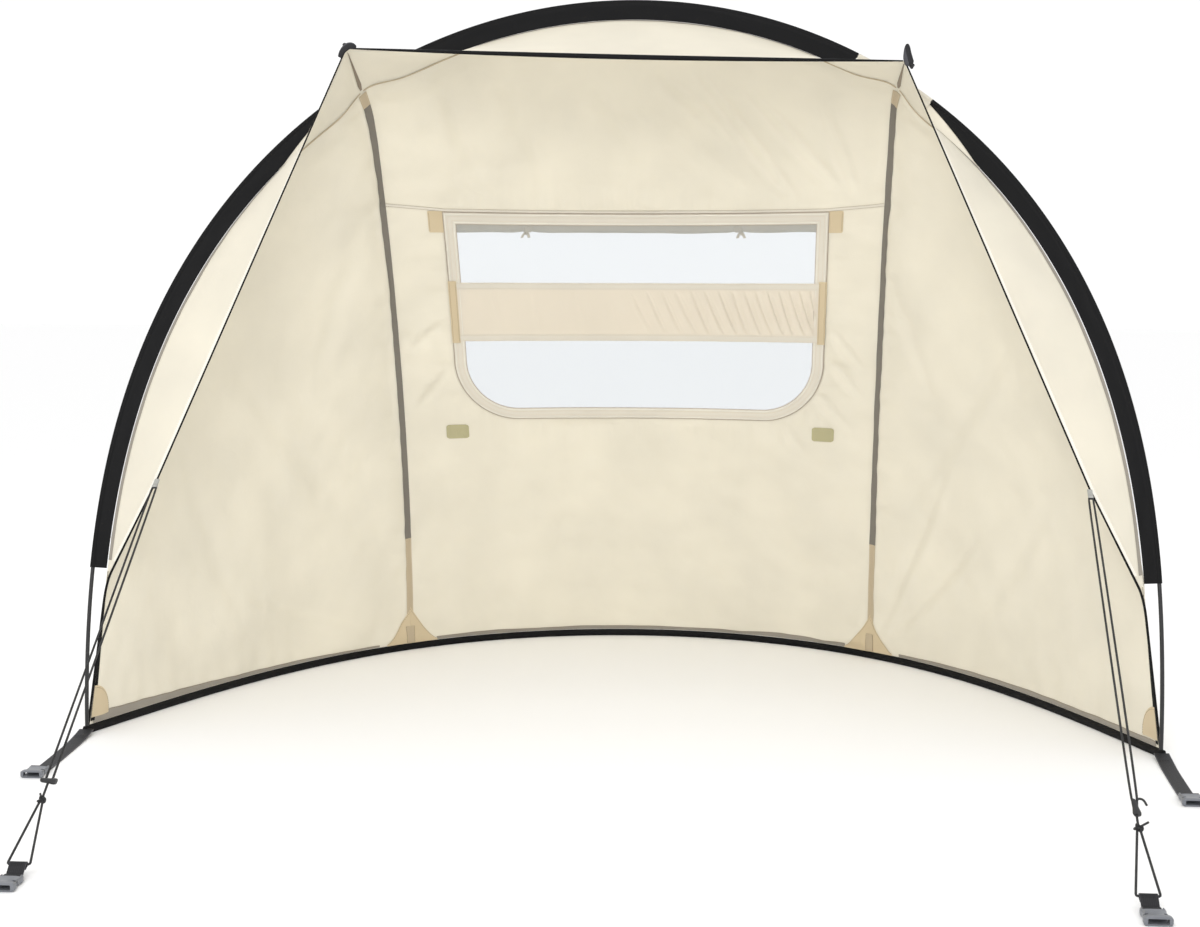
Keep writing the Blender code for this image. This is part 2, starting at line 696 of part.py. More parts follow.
def make_cover_roll():
    """The window's cloth cover, rolled up behind its head, and the two ties that hold it."""
    stations = np.linspace(-WINDOW_HALF_WIDTH + 0.01, WINDOW_HALF_WIDTH - 0.01, 13)
    surface = np.array([on_back_panel(BACK, x, ROLL_HEIGHT) for x in stations])
    normals = unit([on_back_panel(BACK_NORMALS, x, ROLL_HEIGHT) for x in stations])
    axis = surface + normals * (ROLL_RADIUS + FABRIC / 2 + 3 * GAP)
    bow = np.polynomial.Polynomial.fit(axis[:, 0], axis[:, 1], 4)
    height = axis[:, 2].mean()
    line = [(x, bow(x), height) for x in stations]
    add_tube("cover_roll", line, ROLL_RADIUS, CREAM, sides=10)
    for name, across in TIE_X.items():
        centre = np.array([across, bow(across), height])
        normal = unit(on_back_panel(BACK_NORMALS, across, ROLL_HEIGHT))
        along = unit([1, bow.deriv()(across), 0])
        up = unit(np.cross(along, normal) * np.sign(np.cross(along, normal)[2]))
        out = unit(normal - along * normal.dot(along))
        turn = arc(centre, out, up, ROLL_RADIUS + 4 * GAP, -96, 96, 9)
        ends = []
        for point in (turn[0], turn[-1]):
            seat = on_back_panel(BACK, point[0], point[2] - 0.3 * ROLL_RADIUS)
            ends.append(seat + normal * (FABRIC / 2 + 2 * GAP))
        add_band(f"cover_tie_{name}", np.vstack([ends[0], turn, ends[1]]), along, TIE_WIDTH, TAPE_CLOTH, TAPE)


def make_buckle(name, across, back):
    """The socket half of a side-release buckle, lying flat, mouth towards -Y, with a bar for webbing at its rear."""
    shape = bmesh.new()
    bmesh.ops.create_cube(shape, size=1)
    bmesh.ops.scale(shape, vec=(BUCKLE_WIDTH, BUCKLE_LENGTH, BUCKLE_HEIGHT), verts=shape.verts)
    upright = [edge for edge in shape.edges if abs(edge.verts[0].co.z - edge.verts[1].co.z) > BUCKLE_HEIGHT / 2]
    bmesh.ops.bevel(shape, geom=upright, offset=BUCKLE_CORNER, segments=3, profile=0.5, affect="EDGES")
    middle = BUCKLE_HEIGHT / 2
    bmesh.ops.translate(shape, verts=shape.verts, vec=(across, back - ORIGIN[1], middle))
    mesh = bpy.data.meshes.new(name)
    shape.to_mesh(mesh)
    shape.free()
    mesh.materials.append(finish(name, *GREY))
    thing = bpy.data.objects.new(name, mesh)
    bpy.context.scene.collection.objects.link(thing)
    front = back - BUCKLE_LENGTH / 2
    rear = back + BUCKLE_LENGTH / 2
    bar_front = rear - BAR
    slot_front = bar_front - SLOT_LENGTH
    past = 0.01
    cuts = {
        "mouth": (MOUTH_WIDTH, middle - MOUTH_HEIGHT / 2, middle + MOUTH_HEIGHT / 2, front - past, front + MOUTH_DEPTH),
        "sides": (BUCKLE_WIDTH + past, middle - SIDE_WINDOW_HEIGHT / 2, middle + SIDE_WINDOW_HEIGHT / 2,
                  front + SIDE_WINDOW[0], front + SIDE_WINDOW[1]),
        "slot": (SLOT_WIDTH, -past, BUCKLE_HEIGHT + past, slot_front, bar_front),
        "under": (SLOT_WIDTH, -past, middle - BAR_HEIGHT / 2, slot_front, rear + past),
        "over": (SLOT_WIDTH, middle + BAR_HEIGHT / 2, BUCKLE_HEIGHT + past, slot_front, rear + past),
    }
    for cut_name, (width, low_z, high_z, low_y, high_y) in cuts.items():
        outline = box_outline(across - width / 2, across + width / 2, low_z, high_z)
        cut(thing, add_prism(f"{name}_{cut_name}", outline, low_y, high_y))


def webbing_round_bar(across, back, approach):
    """A strap's path: along its approach, under the buckle's bar, up through the slot, over the bar and back."""
    bar = np.array([across, back + BUCKLE_LENGTH / 2 - BAR / 2, BUCKLE_HEIGHT / 2])
    reach_y = BAR / 2 + GAP + WEBBING / 2
    reach_z = BAR_HEIGHT / 2 + GAP + WEBBING / 2
    soft = 0.0008
    wrap = [
        (0.0030, -reach_z), (-reach_y + soft, -reach_z), (-reach_y, -reach_z + soft),
        (-reach_y, reach_z - soft), (-reach_y + soft, reach_z), (0.0032, reach_z - 0.0001),
    ]
    return np.vstack([approach, [bar + np.array([0, y, z]) for y, z in wrap]])


def make_corner_strap(name):
    """The webbing from one front corner to its buckle, lying on the floor."""
    side = SIDES[name]
    across, back = CORNER_BUCKLE[0] * side, CORNER_BUCKLE[1]
    make_buckle(f"corner_buckle_{name}", across, back)
    start = side * (HALF_WIDTH - 0.004)
    approach = [
        (start, -0.0024, 0.0090),
        (start, -0.030, 0.0040),
        (start - side * 0.003, -0.075, 0.0011),
        (start - side * 0.008, -0.150, 0.0011),
        (across, back + BUCKLE_LENGTH / 2 + 0.012, 0.0014),
    ]
    points = webbing_round_bar(across, back, approach)
    tail = [(across, points[-1][1] + 0.0065, 0.0036), (across, points[-1][1] + 0.017, 0.0032)]
    add_band(f"corner_strap_{name}", np.vstack([points, tail]), ACROSS, WEBBING_WIDTH, WEBBING, BLACK)


def make_guy(name):
    """One guy line: its tab, doubled cord, tensioner, knot and lower loop, and the webbing and buckle at its end."""
    side = SIDES[name]
    across, back = GUY_BUCKLE[0] * side, GUY_BUCKLE[1]
    head = np.array(FRONT_GUY_POINT) * [side, 1, 1]
    foot = np.array([across, back + BUCKLE_LENGTH / 2 + GUY_STRAP_RUN, GUY_STRAP_RISE])
    length = np.linalg.norm(foot - head)
    down = unit(foot - head)
    wide = unit(ACROSS - down * down[0])
    face = np.cross(wide, down)

    def at(distance, shift=0.0, lift=0.0):
        return head + down * distance + wide * shift + face * lift

    layer = TAPE_CLOTH / 2 + 0.0004
    fold = arc(at(TAB_TURN), -face, down, CORD_RADIUS + 2 * GAP + TAPE_CLOTH / 2, -60, 240, 9)
    tab = [at(TAB_START, lift=-layer), at(TAB_TURN / 2, lift=-layer), *fold]
    tab += [at(TAB_TURN / 2, lift=layer), at(TAB_START, lift=layer)]
    add_band(f"guy_tab_{name}", tab, wide, TAB_WIDTH, TAPE_CLOTH, GREY)

    tensioner = [length * share for share in TENSIONER]
    legs = [
        [
            at(tensioner[0] - GAP, leg * LEG_SPREAD),
            at(TAB_TURN + CORD_BEND, leg * LEG_SPREAD),
            at(TAB_TURN + CORD_BEND * 0.3, leg * (LEG_SPREAD - CORD_BEND * 0.3)),
            at(TAB_TURN, leg * (LEG_SPREAD - CORD_BEND)),
        ]
        for leg in SIDES.values()
    ]
    add_tube(f"guy_line_{name}", legs[0] + legs[1][::-1], CORD_RADIUS, BLACK)

    rings = []
    outline = ((0, 0.0065, 0.0030), (0.15, 0.0075, 0.0036), (0.85, 0.0065, 0.0036), (1, 0.0050, 0.0030))
    for share, half_width, half_depth in outline:
        distance = tensioner[0] + (tensioner[1] - tensioner[0]) * share
        rings.append(ellipse(at(distance), wide * half_width, face * half_depth, 8))
    add_sweep(f"guy_tensioner_{name}", rings, BLACK)

    knot = tensioner[1] + GAP
    rings = []
    sizes = ((0, CORD_RADIUS), (STRAND, CORD_RADIUS), (STRAND + 0.003, 0.0055), (STRAND + KNOT - 0.004, 0.0055),
             (STRAND + KNOT, 0.0038))
    for distance, size in sizes:
        rings.append(ellipse(at(knot + distance), wide * size, face * size, 8))
    add_sweep(f"guy_knot_{name}", rings, BLACK)

    loop_top = knot + STRAND + KNOT + 2 * GAP
    hem = length + CORD_BEND
    legs = [
        [
            at(loop_top, leg * (CORD_RADIUS + GAP)),
            at(length) + ACROSS * leg * LOOP_SPREAD,
            at(hem) + ACROSS * leg * (LOOP_SPREAD - CORD_BEND),
        ]
        for leg in SIDES.values()
    ]
    add_tube(f"guy_loop_{name}", legs[0] + legs[1][::-1], CORD_RADIUS, BLACK)

    make_buckle(f"guy_buckle_{name}", across, back)
    target = webbing_round_bar(across, back, np.zeros((0, 3)))
    cord = at(hem)
    run = unit((target[0] - cord) * [0, 1, 1])
    up = np.cross(run, ACROSS)
    reach = CORD_RADIUS + 2 * GAP + WEBBING / 2
    strap = np.vstack([cord + run * HEM_FLAP - up * GAP, arc(cord, -run, up, reach, -90, 90, 7)])
    tail = target[-1] + [0, 0.004, -0.0008]
    add_band(f"guy_strap_{name}", np.vstack([strap, target, tail]), ACROSS, WEBBING_WIDTH - 0.002, WEBBING, BLACK)


make_back_panel()
make_visor_roof()
make_front_piping()
make_base_ring()
make_arch_pole()
make_arch_sleeves()
make_window()
make_cover_roll()
for side_name in SIDES:
    make_side_panel(side_name)
    make_visor_side(side_name)
    make_rib(side_name)
    make_peak_pocket(side_name)
    make_corner_strap(side_name)
    make_guy(side_name)
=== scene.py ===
# %% [markdown]
# # A cream canopy for a hot tub
# The imported model is the fixed frame: its solids say where every pole, panel and strap is. This script
# dresses them. Cloth panels become fine sheets with folds and seams, rods and cords become round, and every
# finish gets its own material. We load the frame first. The dressed model must stay in it.

from math import cos, pi, radians, sin

import bpy
import numpy as np
from mathutils import Matrix, Vector
from mathutils.bvhtree import BVHTree


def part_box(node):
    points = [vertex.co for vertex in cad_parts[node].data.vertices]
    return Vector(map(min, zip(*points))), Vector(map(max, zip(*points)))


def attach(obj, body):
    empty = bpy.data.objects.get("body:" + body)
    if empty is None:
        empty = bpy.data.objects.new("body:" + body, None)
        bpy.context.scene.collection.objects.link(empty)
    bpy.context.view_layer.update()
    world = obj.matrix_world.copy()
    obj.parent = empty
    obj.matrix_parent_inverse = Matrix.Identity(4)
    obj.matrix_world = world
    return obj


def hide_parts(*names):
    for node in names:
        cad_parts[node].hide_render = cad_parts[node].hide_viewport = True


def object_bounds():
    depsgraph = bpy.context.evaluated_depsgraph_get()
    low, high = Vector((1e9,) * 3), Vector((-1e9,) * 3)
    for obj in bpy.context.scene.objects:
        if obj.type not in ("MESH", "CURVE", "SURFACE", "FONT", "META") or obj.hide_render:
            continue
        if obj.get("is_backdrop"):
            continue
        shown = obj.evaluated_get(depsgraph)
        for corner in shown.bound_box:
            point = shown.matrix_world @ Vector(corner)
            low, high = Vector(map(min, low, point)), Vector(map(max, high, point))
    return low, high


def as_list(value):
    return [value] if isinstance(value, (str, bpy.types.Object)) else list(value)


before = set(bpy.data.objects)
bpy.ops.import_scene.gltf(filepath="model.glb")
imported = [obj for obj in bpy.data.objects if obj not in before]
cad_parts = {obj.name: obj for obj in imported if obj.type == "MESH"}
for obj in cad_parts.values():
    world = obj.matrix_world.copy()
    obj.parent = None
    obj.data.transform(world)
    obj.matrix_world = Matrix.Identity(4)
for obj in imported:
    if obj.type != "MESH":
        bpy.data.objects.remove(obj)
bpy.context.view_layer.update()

# %% [markdown]
# ## Camera
# The photograph was taken from just right of the middle and a little above half the canopy's height,
# looking slightly down. A view direction is easiest to build as three turns: up from straight down, round to
# the left, and the small roll of a hand-set tripod.

# %% Camera
EYE = Vector((0.214, -3.0876, 0.779))
YAW, PITCH, ROLL = radians(4.48), radians(5.66), radians(0.16)
SENSOR = 36.0
FOCAL_SHARE = 1812.9 / 1200

bpy.ops.object.select_all(action="DESELECT")
turn = Matrix.Rotation(YAW, 3, "Z") @ Matrix.Rotation(pi / 2 - PITCH, 3, "X") @ Matrix.Rotation(ROLL, 3, "Z")
bpy.ops.object.camera_add(location=EYE, rotation=turn.to_euler())
camera = bpy.context.object
camera.data.sensor_width = SENSOR
camera.data.lens = SENSOR * FOCAL_SHARE
bpy.context.scene.camera = camera
print("lens:", round(camera.data.lens, 1), "mm")

# %% [markdown]
# ## Floor and light
# A pale floor and a near-white sky give the even, shadowless light of a product photograph. Two large soft
# lamps, one from the front and one from above the rear, give the cloth a direction of light, so that its
# folds show. The rear lamp also shines through the cloth.

# %% Floor and light
FLOOR_SIZE = 60.0
SKY_STRENGTH = 1.04


def deselect():
    """Nothing selected, so that the next operator acts only on what it makes."""
    bpy.ops.object.select_all(action="DESELECT")


def soft_lamp(name, place, aim, size, power):
    """A large square lamp that points at a place."""
    deselect()
    heading = (Vector(aim) - Vector(place)).to_track_quat("-Z", "Y")
    bpy.ops.object.light_add(type="AREA", location=place, rotation=heading.to_euler())
    lamp = bpy.context.object
    lamp.name = name
    lamp.data.size = size
    lamp.data.energy = power


deselect()
bpy.ops.mesh.primitive_plane_add(size=FLOOR_SIZE)
floor = bpy.context.object
floor.name = "floor"
floor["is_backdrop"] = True
pale = bpy.data.materials.new("pale_floor")
pale.use_nodes = True
pale.node_tree.nodes["Principled BSDF"].inputs["Base Color"].default_value = (0.95, 0.95, 0.95, 1)
pale.node_tree.nodes["Principled BSDF"].inputs["Roughness"].default_value = 0.9
floor.data.materials.append(pale)

world = bpy.data.worlds.new("sky")
world.use_nodes = True
world.node_tree.nodes["Background"].inputs["Color"].default_value = (1, 1, 1, 1)
world.node_tree.nodes["Background"].inputs["Strength"].default_value = SKY_STRENGTH
bpy.context.scene.world = world
bpy.context.scene.view_settings.view_transform = "Standard"
soft_lamp("front_lamp", (-0.4, -3.5, 2.4), (0.0, 0.2, 0.6), 1.4, 50)
soft_lamp("rear_lamp", (-0.6, 3.2, 2.6), (0.0, 0.2, 0.7), 2.0, 24)

# %% [markdown]
# ## The lines that carry the cloth
# A canopy like this is drawn by a few springy lines: a rod bowed flat on the ground, a rod bowed upright,
# and two ribs. Every panel is stretched between them. A bowed rod's heading turns evenly from one end to the
# other, so we add up small steps along a heading that follows a cosine. Lengths are in metres, measured from
# midway between the front corners; `HOME` moves them to the frame's origin.

# %% Driving sizes
POLE_RADIUS = 0.0035
HALF_WIDTH = 0.915
ARCH_HALF_SPAN = 0.911
RING_TURN = (radians(72.2), radians(-2.7))
ARCH_TURN = (radians(86.43), radians(4.10))
ARCH_BACK = 0.40
ARCH_LEAN_GROWTH = 1.5
FIN_TOP, FIN_FOOT, FIN_KNEE, FIN_DIP = 0.0377, 0.0234, 0.0142, 0.050
RIB_X = 0.487
RIB_CORNER_Y = 0.405
RIB_BULGE = 0.17
RIB_KNEE = 0.055
RIB_OFFSET = 0.0062
RIB_TILT = radians(26)
PEAK_Y = 0.20
PEAK_HEIGHT = {"left": 1.190, "right": 1.162}
GUY_POINT = (0.790, 0.041, 0.443)
VISOR_TIP = 0.262
SIDE_TIP = 0.298
GAP = 0.0004
SIDES = {"left": -1, "right": 1}
ACROSS = np.array([1.0, 0.0, 0.0])
UP = np.array([0.0, 0.0, 1.0])

RING_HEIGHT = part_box("base_ring")[1].z
HOME = np.array([0.0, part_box("arch_pole")[0].y + POLE_RADIUS, 0.0])
print("ring height:", round(RING_HEIGHT, 4), "shift to the frame:", HOME.round(4))

# %% Line helpers


def unit(vectors):
    """Vectors scaled to length 1."""
    vectors = np.asarray(vectors, float)
    return vectors / np.linalg.norm(vectors, axis=-1, keepdims=True)


def run_along(points):
    """The distance along a line to each of its points."""
    return np.r_[0, np.cumsum(np.linalg.norm(np.diff(points, axis=0), axis=1))]


def grid_runs(grid, axis):
    """The distance to each point of a grid along its rows (axis 1) or its columns (axis 0)."""
    steps = np.cumsum(np.linalg.norm(np.diff(grid, axis=axis), axis=2), axis=axis)
    return np.insert(steps, 0, 0, axis=axis)


def read_off(at, measure, points):
    """The points of a line at one or more values of a measure that rises along it."""
    return np.stack([np.interp(at, measure, points[:, axis]) for axis in range(3)], axis=-1)


def resample(points, count):
    """Points spaced evenly along a line."""
    points = np.asarray(points, float)
    run = run_along(points)
    return read_off(np.linspace(0, run[-1], count), run, points)


def at_index(points, index):
    """The point, or points, between an array's rows."""
    return read_off(index, np.arange(len(points)), points)


def between(points, start, end, count):
    """Evenly spaced points of a line between two of its indices."""
    return resample(at_index(points, np.linspace(start, end, 400)), count)


def at_height(points, height):
    """The point, or points, of a rising line at a height."""
    return read_off(height, points[:, 2], points)


def quadratic(start, control, end, count):
    """Points on a quadratic curve."""
    share = np.linspace(0, 1, count)[:, None]
    return (1 - share) ** 2 * start + 2 * share * (1 - share) * control + share**2 * end


def eased(points, times=3):
    """A line with its corners cut again and again, which makes it one smooth curve."""
    points = np.asarray(points, float)
    for _ in range(times):
        near = points[:-1] * 0.75 + points[1:] * 0.25
        far = points[:-1] * 0.25 + points[1:] * 0.75
        middle = np.stack([near, far], axis=1).reshape(-1, 3)
        points = np.vstack([points[0], middle, points[-1]])
    return points


def arc(centre, first, second, radius, start, end, count):
    """Points on part of a circle, by its angle in degrees from the first direction towards the second."""
    angles = np.radians(np.linspace(start, end, count))[:, None]
    return centre + radius * (first * np.cos(angles) + second * np.sin(angles))


def bowed_rod(half_span, turn_angles, count=801):
    """Outline of a springy rod bowed between two ends."""
    share = (np.arange(count - 1) + 0.5) / (count - 1)
    heading = turn_angles[0] * np.cos(pi * share) + turn_angles[1] * np.cos(3 * pi * share)
    across = np.r_[0, np.cumsum(np.cos(heading))]
    rise = np.r_[0, np.cumsum(np.sin(heading))]
    scale = 2 * half_span / across[-1]
    return across * scale - half_span, np.maximum(rise * scale, 0)


# %% Ring, arch and seam
ring_x, ring_y = bowed_rod(HALF_WIDTH, RING_TURN)
RING = np.column_stack([ring_x, ring_y, np.full_like(ring_x, RING_HEIGHT / 2)])
RING_TOP = RING + [0, 0, RING_HEIGHT / 2 + GAP]
arch_x, arch_rise = bowed_rod(ARCH_HALF_SPAN, ARCH_TURN)
arch_y = ARCH_BACK * (arch_rise / arch_rise.max()) ** ARCH_LEAN_GROWTH
ARCH = np.column_stack([arch_x, arch_y, arch_rise + RING_HEIGHT + 2 * GAP])
ROWS = np.arange(len(ARCH))
ARCH_TANGENT = unit(np.gradient(ARCH, axis=0))
UPPER = ARCH[:, 2] > 1.0


def inward_of_arch():
    """At each point of the arch, the direction from the pole to the fabric."""
    height = ARCH[:, 2] / ARCH[:, 2].max()
    lean = ARCH_BACK * ARCH_LEAN_GROWTH / ARCH[:, 2].max() * height ** (ARCH_LEAN_GROWTH - 1)
    forward = unit(np.column_stack([np.zeros(len(ARCH)), -np.ones(len(ARCH)), lean]))
    inward = unit(np.cross(forward, ARCH_TANGENT))
    facing = np.sum(inward * (np.array([0.0, 0.2, 0.5]) - ARCH), axis=1, keepdims=True)
    return inward * np.sign(facing)


def arch_index(across):
    """Index of the upper arch point at this x."""
    return np.interp(across, ARCH[UPPER, 0], ROWS[UPPER])


def fin_width():
    """Pole centre to seam along the arch, pinched in where a rib crosses."""
    run = run_along(ARCH)
    width = FIN_FOOT + (FIN_TOP - FIN_FOOT) * ARCH[:, 2] / ARCH[:, 2].max()
    for side in SIDES.values():
        knee = np.interp(arch_index(side * RIB_X), ROWS, run)
        width = width - (width - FIN_KNEE) * np.exp(-(((run - knee) / FIN_DIP) ** 2))
    return width


ARCH_INWARD = inward_of_arch()
FIN = fin_width()
SEAM = ARCH + ARCH_INWARD * FIN[:, None]


def seam_index(across):
    """Index of the upper seam point at this x."""
    return np.interp(across, SEAM[UPPER, 0], ROWS[UPPER])


def seam_low_index(side, height):
    """Index of the seam point at a height, low on one side."""
    lower = (ROWS - len(ARCH) / 2) * side > 0
    order = np.argsort(SEAM[lower, 2])
    return np.interp(height, SEAM[lower, 2][order], ROWS[lower][order])


def ring_index(across):
    """Index of the ring's point at this x."""
    return np.interp(across, RING[:, 0], np.arange(len(RING)))


def ring_end_index(side, inset):
    """Index of the ring's point a distance in from one end."""
    steps = inset / np.linalg.norm(RING[1] - RING[0])
    return steps if side < 0 else len(RING) - 1 - steps


# %% Ribs and front edge


def rib_seam(name):
    """The seam along one rib: a bow from the ring, a knee, and straight on to the peak."""
    side = SIDES[name]
    foot = at_index(RING_TOP, ring_index(side * RIB_X))[1:]
    knee = at_index(SEAM, seam_index(side * RIB_X))[1:]
    peak = np.array([PEAK_Y, PEAK_HEIGHT[name]])
    slope = (peak - knee) / (peak[0] - knee[0])
    corner = knee + slope * (RIB_CORNER_Y - knee[0])
    chord = corner - foot
    bulge = np.array([chord[1], -chord[0]]) / np.hypot(*chord) * RIB_BULGE
    bow = quadratic(foot, (foot + corner) / 2 + bulge, corner, 400)
    bow = bow[np.linalg.norm(bow - corner, axis=1) > RIB_KNEE]
    turn_end = corner + unit(peak - corner) * RIB_KNEE * 0.75
    flat = np.vstack([bow, quadratic(bow[-1], corner, turn_end, 30)[1:], peak])
    return np.column_stack([np.full(len(flat), side * RIB_X), flat])


def rib_halves(name):
    """The rib seam below and above the arch seam."""
    line = resample(RIB_SEAM[name], 2000)
    knee = at_index(SEAM, seam_index(SIDES[name] * RIB_X))
    crossing = np.argmin(np.linalg.norm(line - knee, axis=1))
    return np.vstack([line[:crossing], knee]), np.vstack([knee, line[crossing + 1 :]])


def rib_rod(name):
    """The rib rod's centre line: the seam moved out to where both panels fall away from it."""
    line = resample(RIB_SEAM[name], 240)
    tangent = unit(np.gradient(line, axis=0))
    back = -unit(np.cross(ACROSS, tangent))
    line = line + (back * cos(RIB_TILT) + ACROSS * SIDES[name] * sin(RIB_TILT)) * RIB_OFFSET
    line[-1] += tangent[-1] * 0.0036
    return line


def front_edge(name):
    """The front edge on one side: peak, guy point, the visor's tip and the corner."""
    side = SIDES[name]
    peak = np.array([side * RIB_X, PEAK_Y, PEAK_HEIGHT[name]])
    guy = np.array(GUY_POINT) * [side, 1, 1]
    tip = at_index(SEAM, seam_low_index(side, VISOR_TIP))
    corner = at_index(RING_TOP, ring_end_index(side, 0.009)) + [0, 0, GAP]
    return peak, guy, tip, corner


RIB_SEAM = {name: rib_seam(name) for name in SIDES}
RIB_ROD = {name: rib_rod(name) for name in SIDES}


def farthest(points, *names):
    """How far the farthest of some points is from the frame's solids."""
    vertices, faces = [], []
    for name in names:
        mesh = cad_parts[name].data
        faces += [[len(vertices) + corner for corner in face.vertices] for face in mesh.polygons]
        vertices += [tuple(vertex.co) for vertex in mesh.vertices]
    tree = BVHTree.FromPolygons(vertices, faces)
    return max(tree.find_nearest(Vector(point + HOME))[3] for point in points)


print("arch line to its pole:", round(farthest(ARCH[::40], "arch_pole"), 4))
print("ring line to its ring:", round(farthest(RING_TOP[::40], "base_ring"), 4))
print("rib line to its rod:", round(farthest(RIB_ROD["left"][::20], "rib_pole_left"), 4))

# %% [markdown]
# ## Makers of shape
# Cloth is a grid: each row and column of points follows the weave, so folds are small moves of the points.
# We add Blender's grid primitive, move its points, and give it a little thickness with Solidify. Its UV map
# is rewritten in metres, so stitches and weave have their real size. Rods and cords are curves with a round
# bevel, turned into a mesh at the end. A moulded part is a skin over closed cross-sections.

# %% Cloth, rods and skins
DRESSED = {}


def alone(thing):
    """Select one object and make it active."""
    deselect()
    thing.select_set(True)
    bpy.context.view_layer.objects.active = thing


def modify(thing, kind, **settings):
    """Add a modifier and apply it at once."""
    alone(thing)
    modifier = thing.modifiers.new(kind.lower(), kind)
    for setting, value in settings.items():
        setattr(modifier, setting, value)
    bpy.ops.object.modifier_apply(modifier=modifier.name)


def smooth(thing, angle=40):
    """Shade smooth, with sharp edges kept."""
    alone(thing)
    bpy.ops.object.shade_smooth_by_angle(angle=radians(angle))


def edit_all(thing, *steps):
    """Run mesh operators on the whole of one mesh."""
    alone(thing)
    bpy.ops.object.mode_set(mode="EDIT")
    bpy.ops.mesh.select_all(action="SELECT")
    for step in steps:
        step()
    bpy.ops.object.mode_set(mode="OBJECT")


def merge_close():
    """Merge the points that lie on each other."""
    bpy.ops.mesh.remove_doubles(threshold=0.00001)


def face_out():
    """Turn every face outwards."""
    bpy.ops.mesh.normals_make_consistent(inside=False)


def close_ends():
    """Fill the open ends of a skin."""
    bpy.ops.mesh.select_all(action="DESELECT")
    bpy.ops.mesh.select_non_manifold()
    bpy.ops.mesh.fill_holes(sides=0)
    bpy.ops.mesh.select_all(action="SELECT")


def hand_over(thing, look, slot, *replaces):
    """Give a finished piece its material, its body and the solids it stands for; the slot is not used."""
    thing.data.materials.clear()
    thing.data.materials.append(look)
    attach(thing, "root")
    if replaces:
        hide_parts(*replaces)
    DRESSED[thing.name] = thing
    return thing


def set_uv(thing, u, v):
    """A UV map from one value of u and v for each vertex."""
    corners = np.zeros(len(thing.data.loops), int)
    thing.data.loops.foreach_get("vertex_index", corners)
    uv = np.column_stack([np.ravel(u)[corners], np.ravel(v)[corners]])
    thing.data.uv_layers[0].data.foreach_set("uv", uv.ravel().astype(np.float32))


def lattice(name, points):
    """Blender's grid primitive with its points moved to ours, and a UV map in metres."""
    rows, columns = points.shape[:2]
    deselect()
    bpy.ops.mesh.primitive_grid_add(x_subdivisions=columns - 1, y_subdivisions=rows - 1, size=1)
    thing = bpy.context.object
    thing.name = thing.data.name = name
    thing.data.vertices.foreach_set("co", (points + HOME).reshape(-1).astype(np.float32))
    thing.data.update()
    u = grid_runs(points, 1)
    set_uv(thing, u - u[:, -1:] / 2, grid_runs(points, 0))
    return thing


def cloth(name, points, thickness=0.0005, angle=60):
    """A sheet through a grid of points, thickened evenly on both sides."""
    thing = lattice(name, points)
    modify(thing, "SOLIDIFY", thickness=thickness, offset=0.0)
    smooth(thing, angle)
    return thing


def skin(name, rings, angle=40):
    """A closed solid over cross-sections that follow each other, capped at both ends."""
    rings = np.asarray(rings, float)
    thing = lattice(name, np.concatenate([rings, rings[:, :1]], axis=1))
    edit_all(thing, merge_close, close_ends, face_out)
    smooth(thing, angle)
    return thing


def oval_rings(spine, first, second, widths, depths, count=20):
    """Ovals round a spine's points: their half width along one direction and half depth along another."""
    angle = 2 * pi * np.arange(count)[None, :, None] / count
    first, second = np.reshape(first, (-1, 1, 3)), np.reshape(second, (-1, 1, 3))
    widths, depths = np.reshape(widths, (-1, 1, 1)), np.reshape(depths, (-1, 1, 1))
    return spine[:, None] + first * (np.cos(angle) * widths) + second * (np.sin(angle) * depths)


def squared_off(wave, power):
    """A cosine or sine pushed out towards a square wave, for a section with rounded corners."""
    return np.sign(wave) * np.abs(wave) ** power


def threads(name, lines, radius, resolution=1, scales=None):
    """Round rods along lines of points in one mesh, with a UV map in metres round and along the first."""
    deselect()
    bpy.ops.curve.primitive_nurbs_path_add()
    path = bpy.context.object
    path.name = name
    path.data.splines.clear()
    for line in lines:
        spline = path.data.splines.new("POLY")
        spline.points.add(len(line) - 1)
        for knot, point in zip(spline.points, np.asarray(line, float) + HOME):
            knot.co = (*point, 1)
        if scales is not None:
            for knot, scale in zip(spline.points, scales):
                knot.radius = scale
    path.data.bevel_depth = radius
    path.data.bevel_resolution = resolution
    path.data.use_fill_caps = True
    bpy.ops.object.convert(target="MESH")
    thing = bpy.context.object
    thing.data.name = name
    uv = np.zeros(len(thing.data.loops) * 2)
    thing.data.uv_layers[0].data.foreach_get("uv", uv)
    uv = uv.reshape(-1, 2) * [2 * pi * radius, run_along(lines[0])[-1]]
    thing.data.uv_layers[0].data.foreach_set("uv", uv.ravel())
    return thing


def rod(name, line, radius, scales=None, resolution=6):
    """One round rod or cord along a line of points."""
    thing = threads(name, [line], radius, resolution, scales)
    edit_all(thing, merge_close, face_out)
    smooth(thing)
    return thing


# %% [markdown]
# ## Finishes
# Every finish is a small node tree that reads Object coordinates or the cloth's own UV map. The cream cloth
# is the important one: thin coated polyester, matt with a faint sheen, and translucent enough to glow where
# light falls on its other side. A Translucent shader mixed with the surface shader does that.

# %% Node helpers


def tree_for(name, colour, roughness):
    """A new material with its colour and roughness: returns the material, its tree and its shader."""
    material = bpy.data.materials.new(name)
    material.use_nodes = True
    shader = material.node_tree.nodes["Principled BSDF"]
    shader.inputs["Base Color"].default_value = (*colour, 1)
    shader.inputs["Roughness"].default_value = roughness
    return material, material.node_tree, shader


